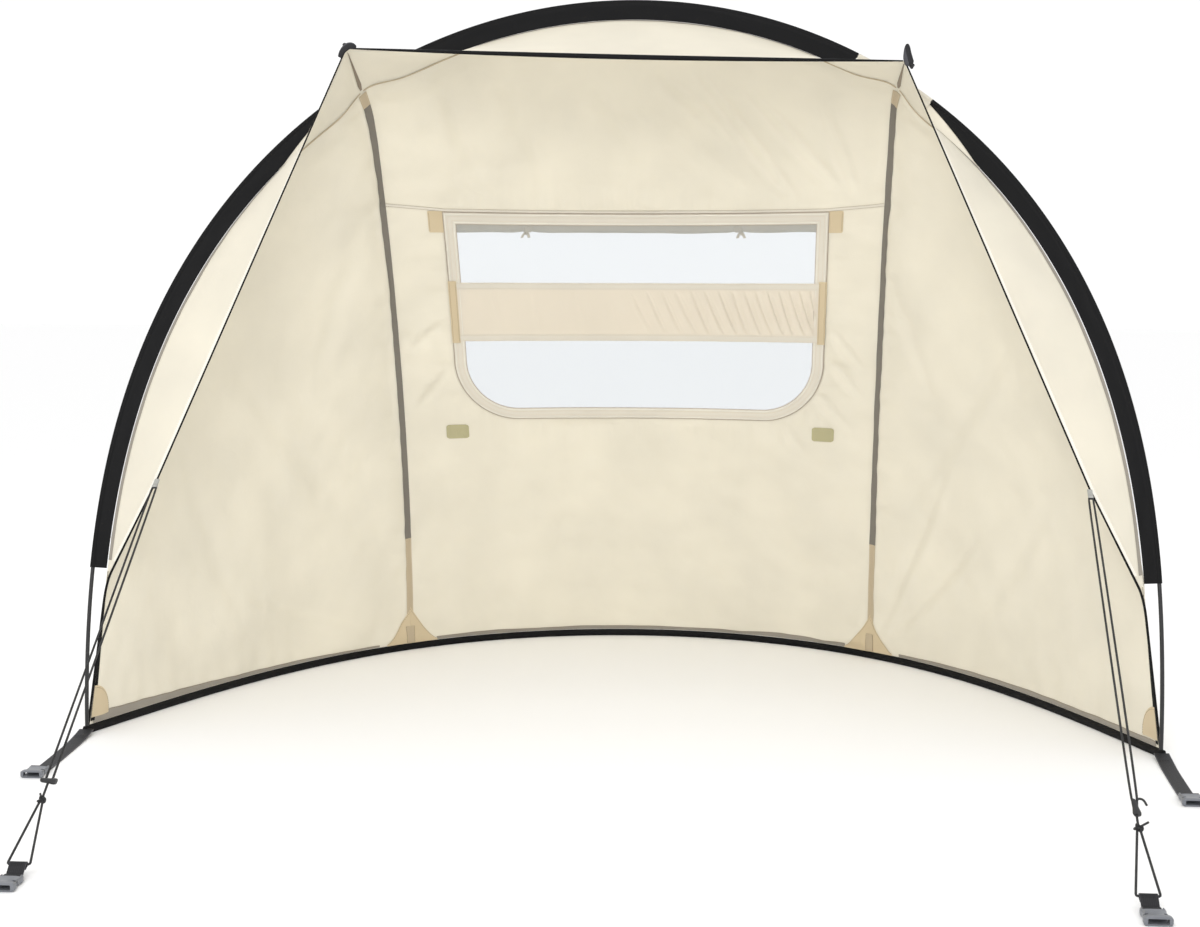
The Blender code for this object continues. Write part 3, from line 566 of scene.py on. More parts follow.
def place_for(tree, kind="Object", turned=0.0):
    """Coordinates of the piece, or its UV map, turned."""
    coordinates = tree.nodes.new("ShaderNodeTexCoord")
    mapping = tree.nodes.new("ShaderNodeMapping")
    mapping.inputs["Rotation"].default_value = (0, 0, turned)
    tree.links.new(coordinates.outputs[kind], mapping.inputs["Vector"])
    return mapping.outputs["Vector"]


def noise(tree, place, scale, detail=2.0, distortion=0.0):
    """A noise pattern's height."""
    texture = tree.nodes.new("ShaderNodeTexNoise")
    texture.inputs["Scale"].default_value = scale
    texture.inputs["Detail"].default_value = detail
    texture.inputs["Distortion"].default_value = distortion
    tree.links.new(place, texture.inputs["Vector"])
    return texture.outputs["Fac"]


def stripes(tree, place, period, direction="X"):
    """Even stripes with a real period in metres."""
    texture = tree.nodes.new("ShaderNodeTexWave")
    texture.bands_direction = direction
    texture.inputs["Scale"].default_value = 2 * pi / 20 / period
    tree.links.new(place, texture.inputs["Vector"])
    return texture.outputs["Fac"]


def combine(tree, operation, *values):
    """A Math node over its values, each a socket or a number."""
    math = tree.nodes.new("ShaderNodeMath")
    math.operation = operation
    for socket, value in zip(math.inputs, values):
        if isinstance(value, (int, float)):
            socket.default_value = value
        else:
            tree.links.new(value, socket)
    return math.outputs[0]


def ramp(tree, height, stops):
    """Colours along a value: each stop is a position and a colour."""
    colours = tree.nodes.new("ShaderNodeValToRGB")
    for _ in stops[2:]:
        colours.color_ramp.elements.new(0.5)
    for element, (position, colour) in zip(colours.color_ramp.elements, stops):
        element.position = position
        element.color = (*colour, 1)
    tree.links.new(height, colours.inputs["Fac"])
    return colours.outputs["Color"]


def bump(tree, shader, height, strength, distance, under=None):
    """Bump from a height, over another bump if there is one."""
    relief = tree.nodes.new("ShaderNodeBump")
    relief.inputs["Strength"].default_value = strength
    relief.inputs["Distance"].default_value = distance
    tree.links.new(height, relief.inputs["Height"])
    if under is not None:
        tree.links.new(under, relief.inputs["Normal"])
    tree.links.new(relief.outputs["Normal"], shader.inputs["Normal"])
    return relief.outputs["Normal"]


def mixed_in(tree, shader, other, share):
    """Mix another shader into the surface by a share."""
    mix = tree.nodes.new("ShaderNodeMixShader")
    mix.inputs["Fac"].default_value = share
    tree.links.new(shader.outputs["BSDF"], mix.inputs[1])
    tree.links.new(other.outputs["BSDF"], mix.inputs[2])
    tree.links.new(mix.outputs["Shader"], tree.nodes["Material Output"].inputs["Surface"])


def shade(colour, factor):
    """The colour made darker or lighter by a factor."""
    return tuple(min(1.0, channel * factor) for channel in colour)


# %% Cloth finishes
CREAM = (0.875, 0.838, 0.736)
HEM_CREAM = (0.900, 0.868, 0.775)
# Beige of the seam strips: partly real tape, partly painted shade of doubled cloth with light coming through.
BEIGE = (0.60, 0.50, 0.35)
SAND = (0.83, 0.775, 0.660)
TAUPE = (0.83, 0.785, 0.69)
# Tan of the patches and tapes: partly real tape, partly painted shade of doubled cloth and of patches seen
# through.
TAN = (0.74, 0.62, 0.42)
# Painted shade: the grey of black sleeves and seam allowances showing through the cloth.
SHADE_GREY = (0.33, 0.30, 0.255)
# Painted shade: the dark grey of the rib sleeves showing through the back panel.
SLEEVE_SHADOW = (0.200, 0.183, 0.158)
BLACK = (0.0060, 0.0060, 0.0065)
CHARCOAL = (0.020, 0.020, 0.023)


def taffeta(name, colour, see_through, roughness=0.62, crinkle=0.25, weave=0.0005, mottle=0.03):
    """Thin woven cloth: mottled colour, soft crinkles, a fine weave, and light that comes through."""
    material, tree, shader = tree_for(name, colour, roughness)
    place = place_for(tree)
    stops = [(0.3, shade(colour, 1 - mottle)), (0.7, shade(colour, 1 + mottle))]
    tone = ramp(tree, noise(tree, place, 7.0, 4.0), stops)
    tree.links.new(tone, shader.inputs["Base Color"])
    shader.inputs["Sheen Weight"].default_value = 0.12 if see_through else 0.0
    shader.inputs["Sheen Roughness"].default_value = 0.5
    shader.inputs["Specular IOR Level"].default_value = 0.28 if see_through else 0.12
    warp = place_for(tree, "UV")
    plain = combine(tree, "MULTIPLY", stripes(tree, warp, weave), stripes(tree, warp, weave, "Y"))
    fine = bump(tree, shader, plain, 0.10, 0.0001)
    bump(tree, shader, noise(tree, place, 26.0, 3.0, 0.6), crinkle, 0.0035, fine)
    if see_through:
        glow = tree.nodes.new("ShaderNodeBsdfTranslucent")
        tree.links.new(tone, glow.inputs["Color"])
        mixed_in(tree, shader, glow, see_through)
    return material


def woven_tape(name, colour, rib, roughness=0.6, half=1.0):
    """Webbing or tape: ribs across, warp threads along, and edges painted lighter as a highlight."""
    material, tree, shader = tree_for(name, colour, roughness)
    place = place_for(tree, "UV")
    weave = combine(tree, "MULTIPLY", stripes(tree, place, rib * 1.6), stripes(tree, place, rib, "Y"))
    split = tree.nodes.new("ShaderNodeSeparateXYZ")
    tree.links.new(place, split.inputs["Vector"])
    # Painted highlight: the outer edges of the webbing are made up to three times lighter.
    rim = combine(tree, "GREATER_THAN", combine(tree, "ABSOLUTE", split.outputs["X"]), half * 0.88)
    light = combine(tree, "MAXIMUM", combine(tree, "MULTIPLY", weave, 0.6), rim)
    stops = [(0.0, shade(colour, 0.7)), (0.6, shade(colour, 1.3)), (1.0, shade(colour, 3.0))]
    tree.links.new(ramp(tree, light, stops), shader.inputs["Base Color"])
    shader.inputs["Specular IOR Level"].default_value = 0.3
    bump(tree, shader, weave, 0.7, 0.0004)
    return material


cream_taffeta = taffeta("cream_taffeta", CREAM, 0.34)
hem_taffeta = taffeta("hem_taffeta", HEM_CREAM, 0.10)
binding_tape = taffeta("binding_tape", TAUPE, 0.20, 0.75, 0.12)
welt_tape = taffeta("welt_tape", HEM_CREAM, 0.10, 0.7, 0.1)
# Real tape on the band's ends; on the patches its tan is painted shade of doubled cloth.
tan_tape_and_shade = taffeta("tan_tape_and_shade", TAN, 0.20, 0.7, 0.15)
tie_tape = taffeta("tie_tape", (0.72, 0.64, 0.50), 0.30, 0.7, 0.15)
# Beige strips along the seams: partly real tape, partly painted shade; the arch seam's strip is all painted
# shade.
seam_tape_and_shade = taffeta("seam_tape_and_shade", BEIGE, 0.20, 0.7, 0.15)
taupe_tape = taffeta("taupe_tape", (0.50, 0.42, 0.35), 0.20, 0.75, 0.12)
cover_taffeta = taffeta("cover_taffeta", SAND, 0.55)
# Painted shade: the rib rods as they show through the visor roof.
rod_shadow_brown = taffeta("rod_shadow_brown", (0.27, 0.22, 0.165), 0.10, 0.6, 0.2)
# Painted shade: the ring's sleeve and the arch seam allowance as they show through the cloth.
seen_through_shade = taffeta("seen_through_shade", SHADE_GREY, 0.10, 0.6, 0.2)
# Painted shade: the rib sleeves as they show through the back panel.
sleeve_shadow_strip = taffeta("sleeve_shadow_strip", SLEEVE_SHADOW, 0.0, 0.6, 0.2)
black_taffeta = taffeta("black_taffeta", BLACK, 0.0, 0.55, 0.45, 0.0008)
satin = taffeta("satin", (0.865, 0.800, 0.685), 0.24, 0.42, 0.06, 0.0004, 0.012)
webbing = woven_tape("webbing", CHARCOAL, 0.0016, half=0.0125)
grey_tape = woven_tape("grey_tape", (0.50, 0.50, 0.47), 0.0010)
hook_tape = taffeta("hook_tape", (0.47, 0.435, 0.265), 0.0, 0.95, 0.9, 0.0011, 0.10)
cream_thread = taffeta("cream_thread", (0.80, 0.70, 0.55), 0.0)
brown_thread = taffeta("brown_thread", (0.30, 0.22, 0.13), 0.0)
black_thread = taffeta("black_thread", (0.03, 0.03, 0.032), 0.0)


# %% Cord, pole, plastic and film


def cord_look():
    """Braided cord: two families of strands that cross as they wind round."""
    material, tree, shader = tree_for("braid", (0.012, 0.012, 0.013), 0.6)
    one = stripes(tree, place_for(tree, "UV", turned=radians(38)), 0.0016)
    other = stripes(tree, place_for(tree, "UV", turned=radians(-38)), 0.0016)
    crossed = combine(tree, "MAXIMUM", one, other)
    tone = ramp(tree, crossed, [(0.2, (0.006, 0.006, 0.007)), (1.0, (0.030, 0.030, 0.032))])
    tree.links.new(tone, shader.inputs["Base Color"])
    bump(tree, shader, crossed, 0.8, 0.0006)
    return material


def moulded(name, colour, roughness, grain=900.0, worn=0.12):
    """Moulded plastic: a fine grain, and roughness that varies as with handling."""
    material, tree, shader = tree_for(name, colour, roughness)
    place = place_for(tree)
    patches = noise(tree, place, 60.0, 3.0)
    tone = ramp(tree, patches, [(0.3, shade(colour, 0.92)), (0.7, shade(colour, 1.08))])
    tree.links.new(tone, shader.inputs["Base Color"])
    rough = combine(tree, "MULTIPLY_ADD", patches, worn, roughness - worn / 2)
    tree.links.new(rough, shader.inputs["Roughness"])
    bump(tree, shader, noise(tree, place, grain), 0.15, 0.0002)
    return material


def film_look():
    """Clear flexible film: mostly see-through, with a faint blue tint and soft highlights."""
    material, tree, shader = tree_for("clear_film", (0.86, 0.91, 0.96), 0.12)
    bump(tree, shader, noise(tree, place_for(tree), 5.0, 1.0), 0.3, 0.01)
    clear = tree.nodes.new("ShaderNodeBsdfTransparent")
    clear.inputs["Color"].default_value = (0.930, 0.940, 0.948, 1)
    mixed_in(tree, shader, clear, 0.88)
    return material


braid = cord_look()
pole_look = moulded("pole_gloss", (0.013, 0.013, 0.014), 0.32, 300.0)
black_plastic = moulded("black_plastic", (0.014, 0.014, 0.015), 0.45)
grey_plastic = moulded("grey_plastic", (0.155, 0.163, 0.182), 0.36)
clear_film = film_look()
print("finishes:", len(bpy.data.materials))

# %% [markdown]
# ## Stretched cloth
# A panel is a surface over four edge lines (a Coons patch): the two surfaces that join opposite edges, added
# together, less the part counted twice. That is the shape of the solid in the frame. What makes it cloth is
# the small relief on top: a slack waviness, creases that run between the points that pull, and puckers that
# die away from each seam.

# %% Panels and relief


def patch(bottom, top, left, right):
    """Grid of points over four edge lines. Bottom and top run left to right, the others bottom to top."""
    u = np.linspace(0, 1, len(bottom))[None, :, None]
    v = np.linspace(0, 1, len(left))[:, None, None]
    along = (1 - v) * bottom[None] + v * top[None]
    up = (1 - u) * left[:, None] + u * right[:, None]
    low = (1 - u) * bottom[0] + u * bottom[-1]
    high = (1 - u) * top[0] + u * top[-1]
    return along + up - ((1 - v) * low + v * high)


def normals_of(grid):
    """Unit normals that point away from the inside of the canopy."""
    normals = unit(np.cross(np.gradient(grid, axis=1), np.gradient(grid, axis=0)))
    facing = np.sum(normals * (grid - np.array([0.0, 0.1, 0.5])))
    return normals * np.sign(facing)


def edge_distance(grid):
    """Distance along the surface from each point to the four edges: left, right, bottom and top."""
    across, up = grid_runs(grid, 1), grid_runs(grid, 0)
    return across, across[:, -1:] - across, up, up[-1:] - up


def soft_noise(points, size, seed, waves=26):
    """A smooth random field of about -1 to 1, with waves of about one size."""
    rng = np.random.default_rng(seed)
    heading = unit(rng.normal(size=(waves, 3)))
    length = size * rng.uniform(0.6, 1.6, waves)
    phase = rng.uniform(0, 2 * pi, waves)
    field = np.sin(points @ (heading * (2 * pi / length)[:, None]).T + phase)
    return field.sum(axis=-1) / np.sqrt(waves)


def ripple(run, spacing, seed):
    """A smooth random wave along one distance."""
    line = np.zeros((run.size, 3))
    line[:, 0] = np.ravel(run)
    return soft_noise(line, spacing, seed, 12).reshape(run.shape)


def crease(across, up, start, end, width, depth):
    """One fold between two places: steep on one side, soft on the other, and gone at both ends."""
    start, end = np.array(start), np.array(end)
    along = end - start
    length = np.hypot(*along)
    share = ((across - start[0]) * along[0] + (up - start[1]) * along[1]) / length**2
    away = ((across - start[0]) * along[1] - (up - start[1]) * along[0]) / length
    fade = np.sin(pi * np.clip(share, 0, 1)) ** 0.8
    away = away / (width * (0.55 + 0.45 * fade))
    return depth * fade * (np.exp(-(away**2)) - 0.55 * np.exp(-((away - 1.3) ** 2) / 1.6))


def pucker(distance, run, spacing, depth, reach, seed):
    """Small gathers along a seam that die away from it."""
    return depth * ripple(run, spacing, seed) * np.exp(-distance / reach)


def held(distance, slack):
    """0 at a seam and 1 well away from it."""
    share = np.clip(distance / slack, 0, 1)
    return share * share * (3 - 2 * share)


def panel_area(grid):
    """Area of a grid of points."""
    faces = np.cross(np.diff(grid[:, :-1], axis=0), np.diff(grid[:-1], axis=1))
    return float(np.linalg.norm(faces, axis=2).sum())


def cut_size(grid):
    """The rectangle that a sheet is cut from: its longest row and its longest column."""
    width = np.linalg.norm(np.diff(grid, axis=1), axis=2).sum(axis=1).max()
    length = np.linalg.norm(np.diff(grid, axis=0), axis=2).sum(axis=0).max()
    return round(float(width), 4), round(float(length), 4)


def cream_panel(name, grid, node):
    """A cream panel over a grid of points, and the solid it stands for."""
    hand_over(cloth(name, grid, PANEL_THICK), cream_taffeta, "cream_fabric", node)


# %% Back panel
PANEL_THICK = 0.0006
ROW_COUNT = 230
WINDOW_HALF, WINDOW_FOOT, WINDOW_HEAD, WINDOW_CORNER = 0.376, 0.498, 0.916, 0.120
BACK_CREASES = (
    ((0.04, 1.19), (0.21, 1.04), 0.015, 0.0085),
    ((0.12, 1.19), (0.32, 0.94), 0.013, 0.0100),
    ((0.20, 1.17), (0.41, 0.95), 0.012, 0.0080),
    ((0.00, 1.13), (0.24, 0.95), 0.018, 0.0060),
    ((-0.10, 1.19), (0.02, 1.01), 0.022, 0.0060),
    ((-0.36, 1.16), (-0.30, 0.97), 0.022, 0.0064),
    ((-0.25, 1.17), (-0.17, 0.96), 0.024, 0.0050),
    ((0.35, 1.13), (0.44, 0.93), 0.012, 0.0068),
    ((0.390, 0.690), (0.460, 0.600), 0.0090, 0.0075),
    ((0.385, 0.635), (0.455, 0.545), 0.0085, 0.0072),
    ((0.350, 0.570), (0.440, 0.475), 0.0095, 0.0068),
    ((0.300, 0.490), (0.345, 0.425), 0.0090, 0.0045),
    ((-0.395, 0.700), (-0.462, 0.640), 0.0100, 0.0050),
    ((-0.392, 0.600), (-0.458, 0.520), 0.0100, 0.0050),
)


def outline_distance(across, up):
    """Distance from the window's outline: less than 0 inside it."""
    half_height = (WINDOW_HEAD - WINDOW_FOOT) / 2
    middle = (WINDOW_HEAD + WINDOW_FOOT) / 2
    corner = np.where(up < middle, WINDOW_CORNER, 0.0)
    x = np.abs(across) - WINDOW_HALF + corner
    z = np.abs(up - middle) - half_height + corner
    return np.hypot(np.maximum(x, 0), np.maximum(z, 0)) + np.minimum(np.maximum(x, z), 0) - corner


BACK = patch(
    between(RING_TOP, ring_index(-RIB_X), ring_index(RIB_X), 176),
    between(SEAM, seam_index(-RIB_X), seam_index(RIB_X), 176),
    resample(rib_halves("left")[0], ROW_COUNT),
    resample(rib_halves("right")[0], ROW_COUNT),
)
across, up = BACK[..., 0], BACK[..., 2]
from_left, from_right, from_bottom, from_top = edge_distance(BACK)
from_window = outline_distance(across, up)
relief = 0.0028 * soft_noise(BACK, 0.22, 1) + 0.0011 * soft_noise(BACK, 0.07, 2)
for start, end, width, depth in BACK_CREASES:
    relief = relief + crease(across, up, start, end, width, depth)
BACK_PUCKERS = (
    (from_left, up, 0.050, 0.0034, 0.030, 3),
    (from_right, up, 0.045, 0.0040, 0.035, 4),
    (from_bottom, across, 0.060, 0.0030, 0.035, 5),
    (from_top, across, 0.050, 0.0028, 0.030, 6),
)
for seam_pucker in BACK_PUCKERS:
    relief = relief + pucker(*seam_pucker)
around = np.where(np.abs(across) > WINDOW_HALF - 0.03, up, across)
relief = relief + pucker(np.maximum(from_window, 0), around, 0.030, 0.0032, 0.030, 7) * (from_window > 0)
edge = np.min([from_left, from_right, from_bottom, from_top], axis=0)
relief = relief * held(edge, 0.02) * (0.15 + 0.85 * held(from_window, 0.022))
BACK_RELIEF = BACK + normals_of(BACK) * relief[..., None]
print("relief of the back panel:", round(float(relief.min()), 4), "to", round(float(relief.max()), 4))

# %% [markdown]
# The window is a hole in this sheet. A Boolean with a block of the window's outline cuts it cleanly. The
# block starts as a cube, and its two lower edges are bevelled to the window's round corners.

# %% Cut the window


def cube(centre, size):
    """Blender's cube, scaled to a size at a place."""
    deselect()
    bpy.ops.mesh.primitive_cube_add(size=1, location=centre, scale=size)
    bpy.ops.object.transform_apply(location=True, rotation=True, scale=True)
    return bpy.context.object


def window_block():
    """A block with the window's outline."""
    height = WINDOW_HEAD - WINDOW_FOOT
    centre = Vector((0, 0.7, (WINDOW_HEAD + WINDOW_FOOT) / 2)) + Vector(HOME)
    block = cube(centre, (2 * WINDOW_HALF, 1.0, height))
    low = centre.z - height / 2
    bpy.ops.object.mode_set(mode="EDIT")
    bpy.ops.mesh.select_all(action="DESELECT")
    bpy.ops.object.mode_set(mode="OBJECT")
    for line in block.data.edges:
        ends = [block.data.vertices[corner].co for corner in line.vertices]
        line.select = all(abs(end.z - low) < 0.001 for end in ends) and abs(ends[0].x - ends[1].x) < 0.001
    bpy.ops.object.mode_set(mode="EDIT")
    bpy.ops.mesh.bevel(offset=WINDOW_CORNER, segments=16)
    bpy.ops.object.mode_set(mode="OBJECT")
    return block


def cut(thing, block):
    """Cut a block out of a piece, and remove the block."""
    modify(thing, "BOOLEAN", object=block, operation="DIFFERENCE")
    bpy.data.objects.remove(block)


back_panel = cloth("back_cloth", BACK_RELIEF, PANEL_THICK)
cut(back_panel, window_block())
smooth(back_panel, 60)
hand_over(back_panel, cream_taffeta, "cream_fabric", "back_panel")
print("back panel faces:", len(back_panel.data.polygons))

# %% [markdown]
# The side panels and the visor use the same patch. Their folds run down from the guy lines' points and out
# from the ribs' feet, because those are the places that pull.

# %% Side panels
SIDE_CREASES = {
    "left": (
        ((0.10, 0.05), (0.45, 0.16), 0.020, 0.0042),
        ((0.08, 0.20), (0.42, 0.62), 0.030, 0.0052),
        ((0.45, 0.10), (0.60, 0.50), 0.028, 0.0044),
        ((0.04, 0.95), (0.20, 0.60), 0.025, 0.0046),
    ),
    "right": (
        ((0.02, 0.03), (0.20, 0.42), 0.016, 0.0075),
        ((0.05, 0.03), (0.30, 0.28), 0.016, 0.0065),
        ((0.08, 0.30), (0.36, 0.70), 0.028, 0.0062),
        ((0.02, 0.80), (0.15, 0.55), 0.020, 0.0052),
        ((0.30, 0.10), (0.52, 0.40), 0.026, 0.0044),
    ),
}


def side_surface(name):
    """One side panel's surface, from the rib to just behind the front piping, with its relief."""
    side = SIDES[name]
    bottom = between(RING_TOP, ring_index(side * RIB_X), ring_end_index(side, 0.0128), 130)
    top = between(SEAM, seam_index(side * RIB_X), seam_low_index(side, SIDE_TIP), 130)
    rib = resample(rib_halves(name)[0], ROW_COUNT)
    front = resample([bottom[-1], top[-1]], ROW_COUNT)
    grid = patch(bottom, top, rib, front)
    from_rib, from_front, from_bottom, from_top = edge_distance(grid)
    relief = 0.0030 * soft_noise(grid, 0.26, 11 + side) + 0.0010 * soft_noise(grid, 0.08, 13 + side)
    for start, end, width, depth in SIDE_CREASES[name]:
        relief = relief + crease(from_rib, from_bottom, start, end, width, depth)
    relief = relief + pucker(from_rib, from_bottom, 0.050, 0.0032, 0.035, 15 + side)
    relief = relief + pucker(from_bottom, from_rib, 0.060, 0.0028, 0.035, 17 + side)
    relief = relief + pucker(from_top, from_rib, 0.060, 0.0030, 0.035, 19 + side)
    edge = np.min([from_rib, from_front, from_bottom, from_top], axis=0)
    return grid + normals_of(grid) * (relief * held(edge, 0.02))[..., None]


SIDE = {name: side_surface(name) for name in SIDES}
for name in SIDES:
    cream_panel(f"side_cloth_{name}", SIDE[name], f"side_panel_{name}")
    print("side panel area:", round(panel_area(SIDE[name]), 3))

# %% Visor
VISOR_FOOT = 0.280
TOP_SAG = 0.004


def slack(grid, seed, size):
    """A visor panel's surface with its relief, held on all four edges."""
    distances = edge_distance(grid)
    puckers = pucker(distances[3], distances[0], 0.05, 0.0014, 0.03, seed + 1)
    relief = 0.0013 * soft_noise(grid, size, seed) + puckers
    return grid + normals_of(grid) * (relief * held(np.min(distances, axis=0), 0.02))[..., None]


def visor_surface(name):
    """One side strip of the visor, from the peak down to its tip low on the arch."""
    side = SIDES[name]
    peak, guy, tip, _ = front_edge(name)
    back_line = between(SEAM, seam_index(side * RIB_X), seam_low_index(side, VISOR_FOOT), 220)
    foot = guy + (tip - guy) * (guy[2] - VISOR_FOOT) / (guy[2] - tip[2])
    front_line = resample([peak, guy, foot], 220)
    head = resample(rib_halves(name)[1][::-1], 28)
    end = resample([front_line[-1], back_line[-1]], 28)
    return slack(patch(front_line, back_line, head, end), 41 + side, 0.16)


def front_top(count, inset=0.0):
    """The front edge between the two peaks, sagging a little under its own weight."""
    line = resample([front_edge("left")[0] + [inset, 0, 0], front_edge("right")[0] - [inset, 0, 0]], count)
    return line - UP * TOP_SAG * np.sin(pi * np.linspace(0, 1, count))[:, None]


roof_patch = patch(
    front_top(160),
    between(SEAM, seam_index(-RIB_X), seam_index(RIB_X), 160),
    resample(rib_halves("left")[1][::-1], 40),
    resample(rib_halves("right")[1][::-1], 40),
)
ROOF = slack(roof_patch, 31, 0.2)
VISOR = {name: visor_surface(name) for name in SIDES}
cream_panel("visor_roof_cloth", ROOF, "visor_roof")
for name in SIDES:
    cream_panel(f"visor_cloth_{name}", VISOR[name], f"visor_side_{name}")
print("visor roof area:", round(panel_area(ROOF), 3))

# %% [markdown]
# ## Sewn strips and patches
# Where two panels meet, the real canopy has a taped seam, and at the points that carry load a patch of double
# cloth. Their beige and tan strips are partly the tape's own colour and partly painted shade, because doubled
# cloth looks darker where light comes through it. From inside, the black sleeves and rods show through, and
# their dark strips are painted shade. Each strip is sampled from its panel at a share along an edge and a
# distance from it, so it follows every fold, and is then lifted off by a millimetre.

# %% Strips beside an edge
STITCH, STITCH_GAP, THREAD = 0.0030, 0.0014, 0.00028
STRIP = np.linspace(0, 1, 4)[None]
TRIMS = {name: [] for name in DRESSED}
SEWN = {"cream": [], "brown": []}


def turned(grid, edge):
    """The grid with the chosen edge as its first column."""
    if edge in ("bottom", "top"):
        grid = grid.transpose(1, 0, 2)
    return grid[:, ::-1] if edge in ("right", "top") else grid


def beside(grid, edge, along, away):
    """Points on a panel, by their share along one edge and their distance from it."""
    lines = turned(grid, edge)
    along, away = np.broadcast_arrays(np.asarray(along, float), np.asarray(away, float))
    rows = np.clip(along, 0, 1) * (len(lines) - 1)
    step = np.linalg.norm(lines[:, 1] - lines[:, 0], axis=1)
    columns = away / np.interp(rows, np.arange(len(lines)), step)
    row = np.clip(rows.astype(int), 0, len(lines) - 2)
    column = np.clip(columns.astype(int), 0, lines.shape[1] - 2)
    a = (rows - row)[..., None]
    b = (columns - column)[..., None]
    near = (1 - a) * lines[row, column] + a * lines[row + 1, column]
    far = (1 - a) * lines[row, column + 1] + a * lines[row + 1, column + 1]
    return (1 - b) * near + b * far


def sew_on(panel, piece, look, slot, *nodes):
    """Hand over a piece that lies on a panel, sewn on or a strip of painted shade, and list it with the panel.
    """
    TRIMS[panel].append(hand_over(piece, look, slot, *nodes))


def trim(name, points, look, slot, panel, lift=0.0012, thickness=0.0004, seams=(), thread="cream"):
    """A sewn piece or painted shade: points on a panel, lifted inwards, with rows of stitches at shares of its
    width.
    """
    away = normals_of(points)
    points = points - away * lift
    sew_on(panel, cloth(name, points, thickness), look, slot)
    for share in seams:
        at = share * (points.shape[1] - 1)
        shown = points - away * (thickness / 2 + THREAD * 0.6) * np.sign(lift)
        SEWN[thread].append(np.array([at_index(row, at) for row in shown]))


def stitch_rows(name, lines, look, slot):
    """Short threads along every line, in one mesh."""
    stitches = []
    for line in lines:
        run = run_along(line)
        for start in np.arange(0.0005, run[-1] - STITCH, STITCH + STITCH_GAP):
            stitches.append(read_off([start, start + STITCH / 2, start + STITCH], run, line))
    piece = threads(name, stitches, THREAD, 0)
    edit_all(piece, merge_close, face_out)
    return hand_over(piece, look, slot)


def spanning(left_of, grid, name, share, half):
    """Points of a strip that spans the seam between two panels, half of it on each."""
    own_half = beside(grid, name, share, half * STRIP)
    other_half = beside(left_of, "left", share, half * STRIP)
    return np.concatenate([other_half[:, ::-1], own_half[:, 1:]], axis=1)


def over_rib(name, low, high, widths, count):
    """Points of a strip that spans a rib's seam between two heights, with its widths from foot to head."""
    line = turned(BACK_RELIEF, name)[:, 0]
    share = np.interp(np.linspace(low, high, count), line[:, 2], np.linspace(0, 1, len(line)))[:, None]
    half = np.interp(np.linspace(0, 1, count), np.linspace(0, 1, len(widths)), widths)[:, None] / 2
    return spanning(SIDE[name], BACK_RELIEF, name, share, half)


# %% Seams along the ribs
KNEE_HEIGHT = at_index(SEAM, seam_index(RIB_X))[2]
STRIP_FOOT, STRIP_HEAD = 0.243, KNEE_HEIGHT - 0.023
# Over each rib seam: beige tapes at the foot and head, partly real tape and partly painted shade of the doubled
# seam, and between them a dark strip of painted shade, where the black sleeve shows through the cloth.
for name in SIDES:
    foot = over_rib(name, 0.018, STRIP_FOOT, (0.015, 0.014), 60)
    trim(f"rib_tape_low_{name}", foot, seam_tape_and_shade, "tape", "back_cloth", seams=(0.12, 0.88))
    dark = over_rib(name, STRIP_FOOT, STRIP_HEAD, (0.0145, 0.0135, 0.0130, 0.0140, 0.0160), 260)
    trim(f"rib_shadow_strip_{name}", dark, sleeve_shadow_strip, "black_fabric", "back_cloth", 0.0013)
    head = over_rib(name, STRIP_HEAD, KNEE_HEIGHT - 0.004, (0.0165, 0.0180), 16)
    trim(f"rib_tape_high_{name}", head, seam_tape_and_shade, "tape", "back_cloth", seams=(0.12, 0.88))
    # On the visor roof, a brown strip of painted shade, where the rib rod shows through the cloth.
    share = np.linspace(0.10, 0.97, 40)[:, None]
    half = np.interp(share, [0.10, 0.55, 0.85, 0.97], [0.0012, 0.0030, 0.0042, 0.0020])
    bridge = spanning(VISOR[name], ROOF, name, share, half)
    trim(f"peak_rod_shadow_{name}", bridge, rod_shadow_brown, "black_fabric", "visor_roof_cloth", 0.0010)

# %% Seams along the arch and the ring
ARCH_PANELS = {"back_cloth": BACK_RELIEF, "side_cloth_left": SIDE["left"], "side_cloth_right": SIDE["right"]}
# Painted shade along the arch seam: a beige strip on each panel where the seam shows darker with light coming
# through.
for panel, grid in ARCH_PANELS.items():
    share = np.linspace(0.004, 0.996, 200)[:, None]
    away = np.linspace(0.0004, 0.0040, 3)[None]
    trim(f"arch_seam_shade_{panel}", beside(grid, "top", share, away), seam_tape_and_shade, "tape", panel, 0.0010)
BASE_WIDTH = {
    "left": (0.0040, 0.0060, 0.0080, 0.0130, 0.0180),
    "right": (0.0060, 0.0075, 0.0085, 0.0085, 0.0085),
}


def base_strip(name, grid, share, width, panel):
    """The ring's sleeve showing through low on a panel, as a dark strip of painted shade with one row of
    stitches.
    """
    points = beside(grid, "bottom", share, 0.0008 + width * STRIP)
    trim(f"base_strip_{name}", points, seen_through_shade, "black_fabric", panel, 0.0011, 0.0004, (0.94,), "brown")


for name in SIDES:
    share = np.linspace(0.09, 0.992, 180)[:, None]
    width = np.interp(share, np.linspace(0.09, 0.992, 5), BASE_WIDTH[name])
    base_strip(name, SIDE[name], share, width, f"side_cloth_{name}")
share = np.linspace(0.06, 0.94, 220)[:, None]
base_strip("back", BACK_RELIEF, share, 0.0060 + 0.0030 * np.abs(ripple(share, 0.2, 61)), "back_cloth")

# %% Patches at the ribs' feet and at the corners


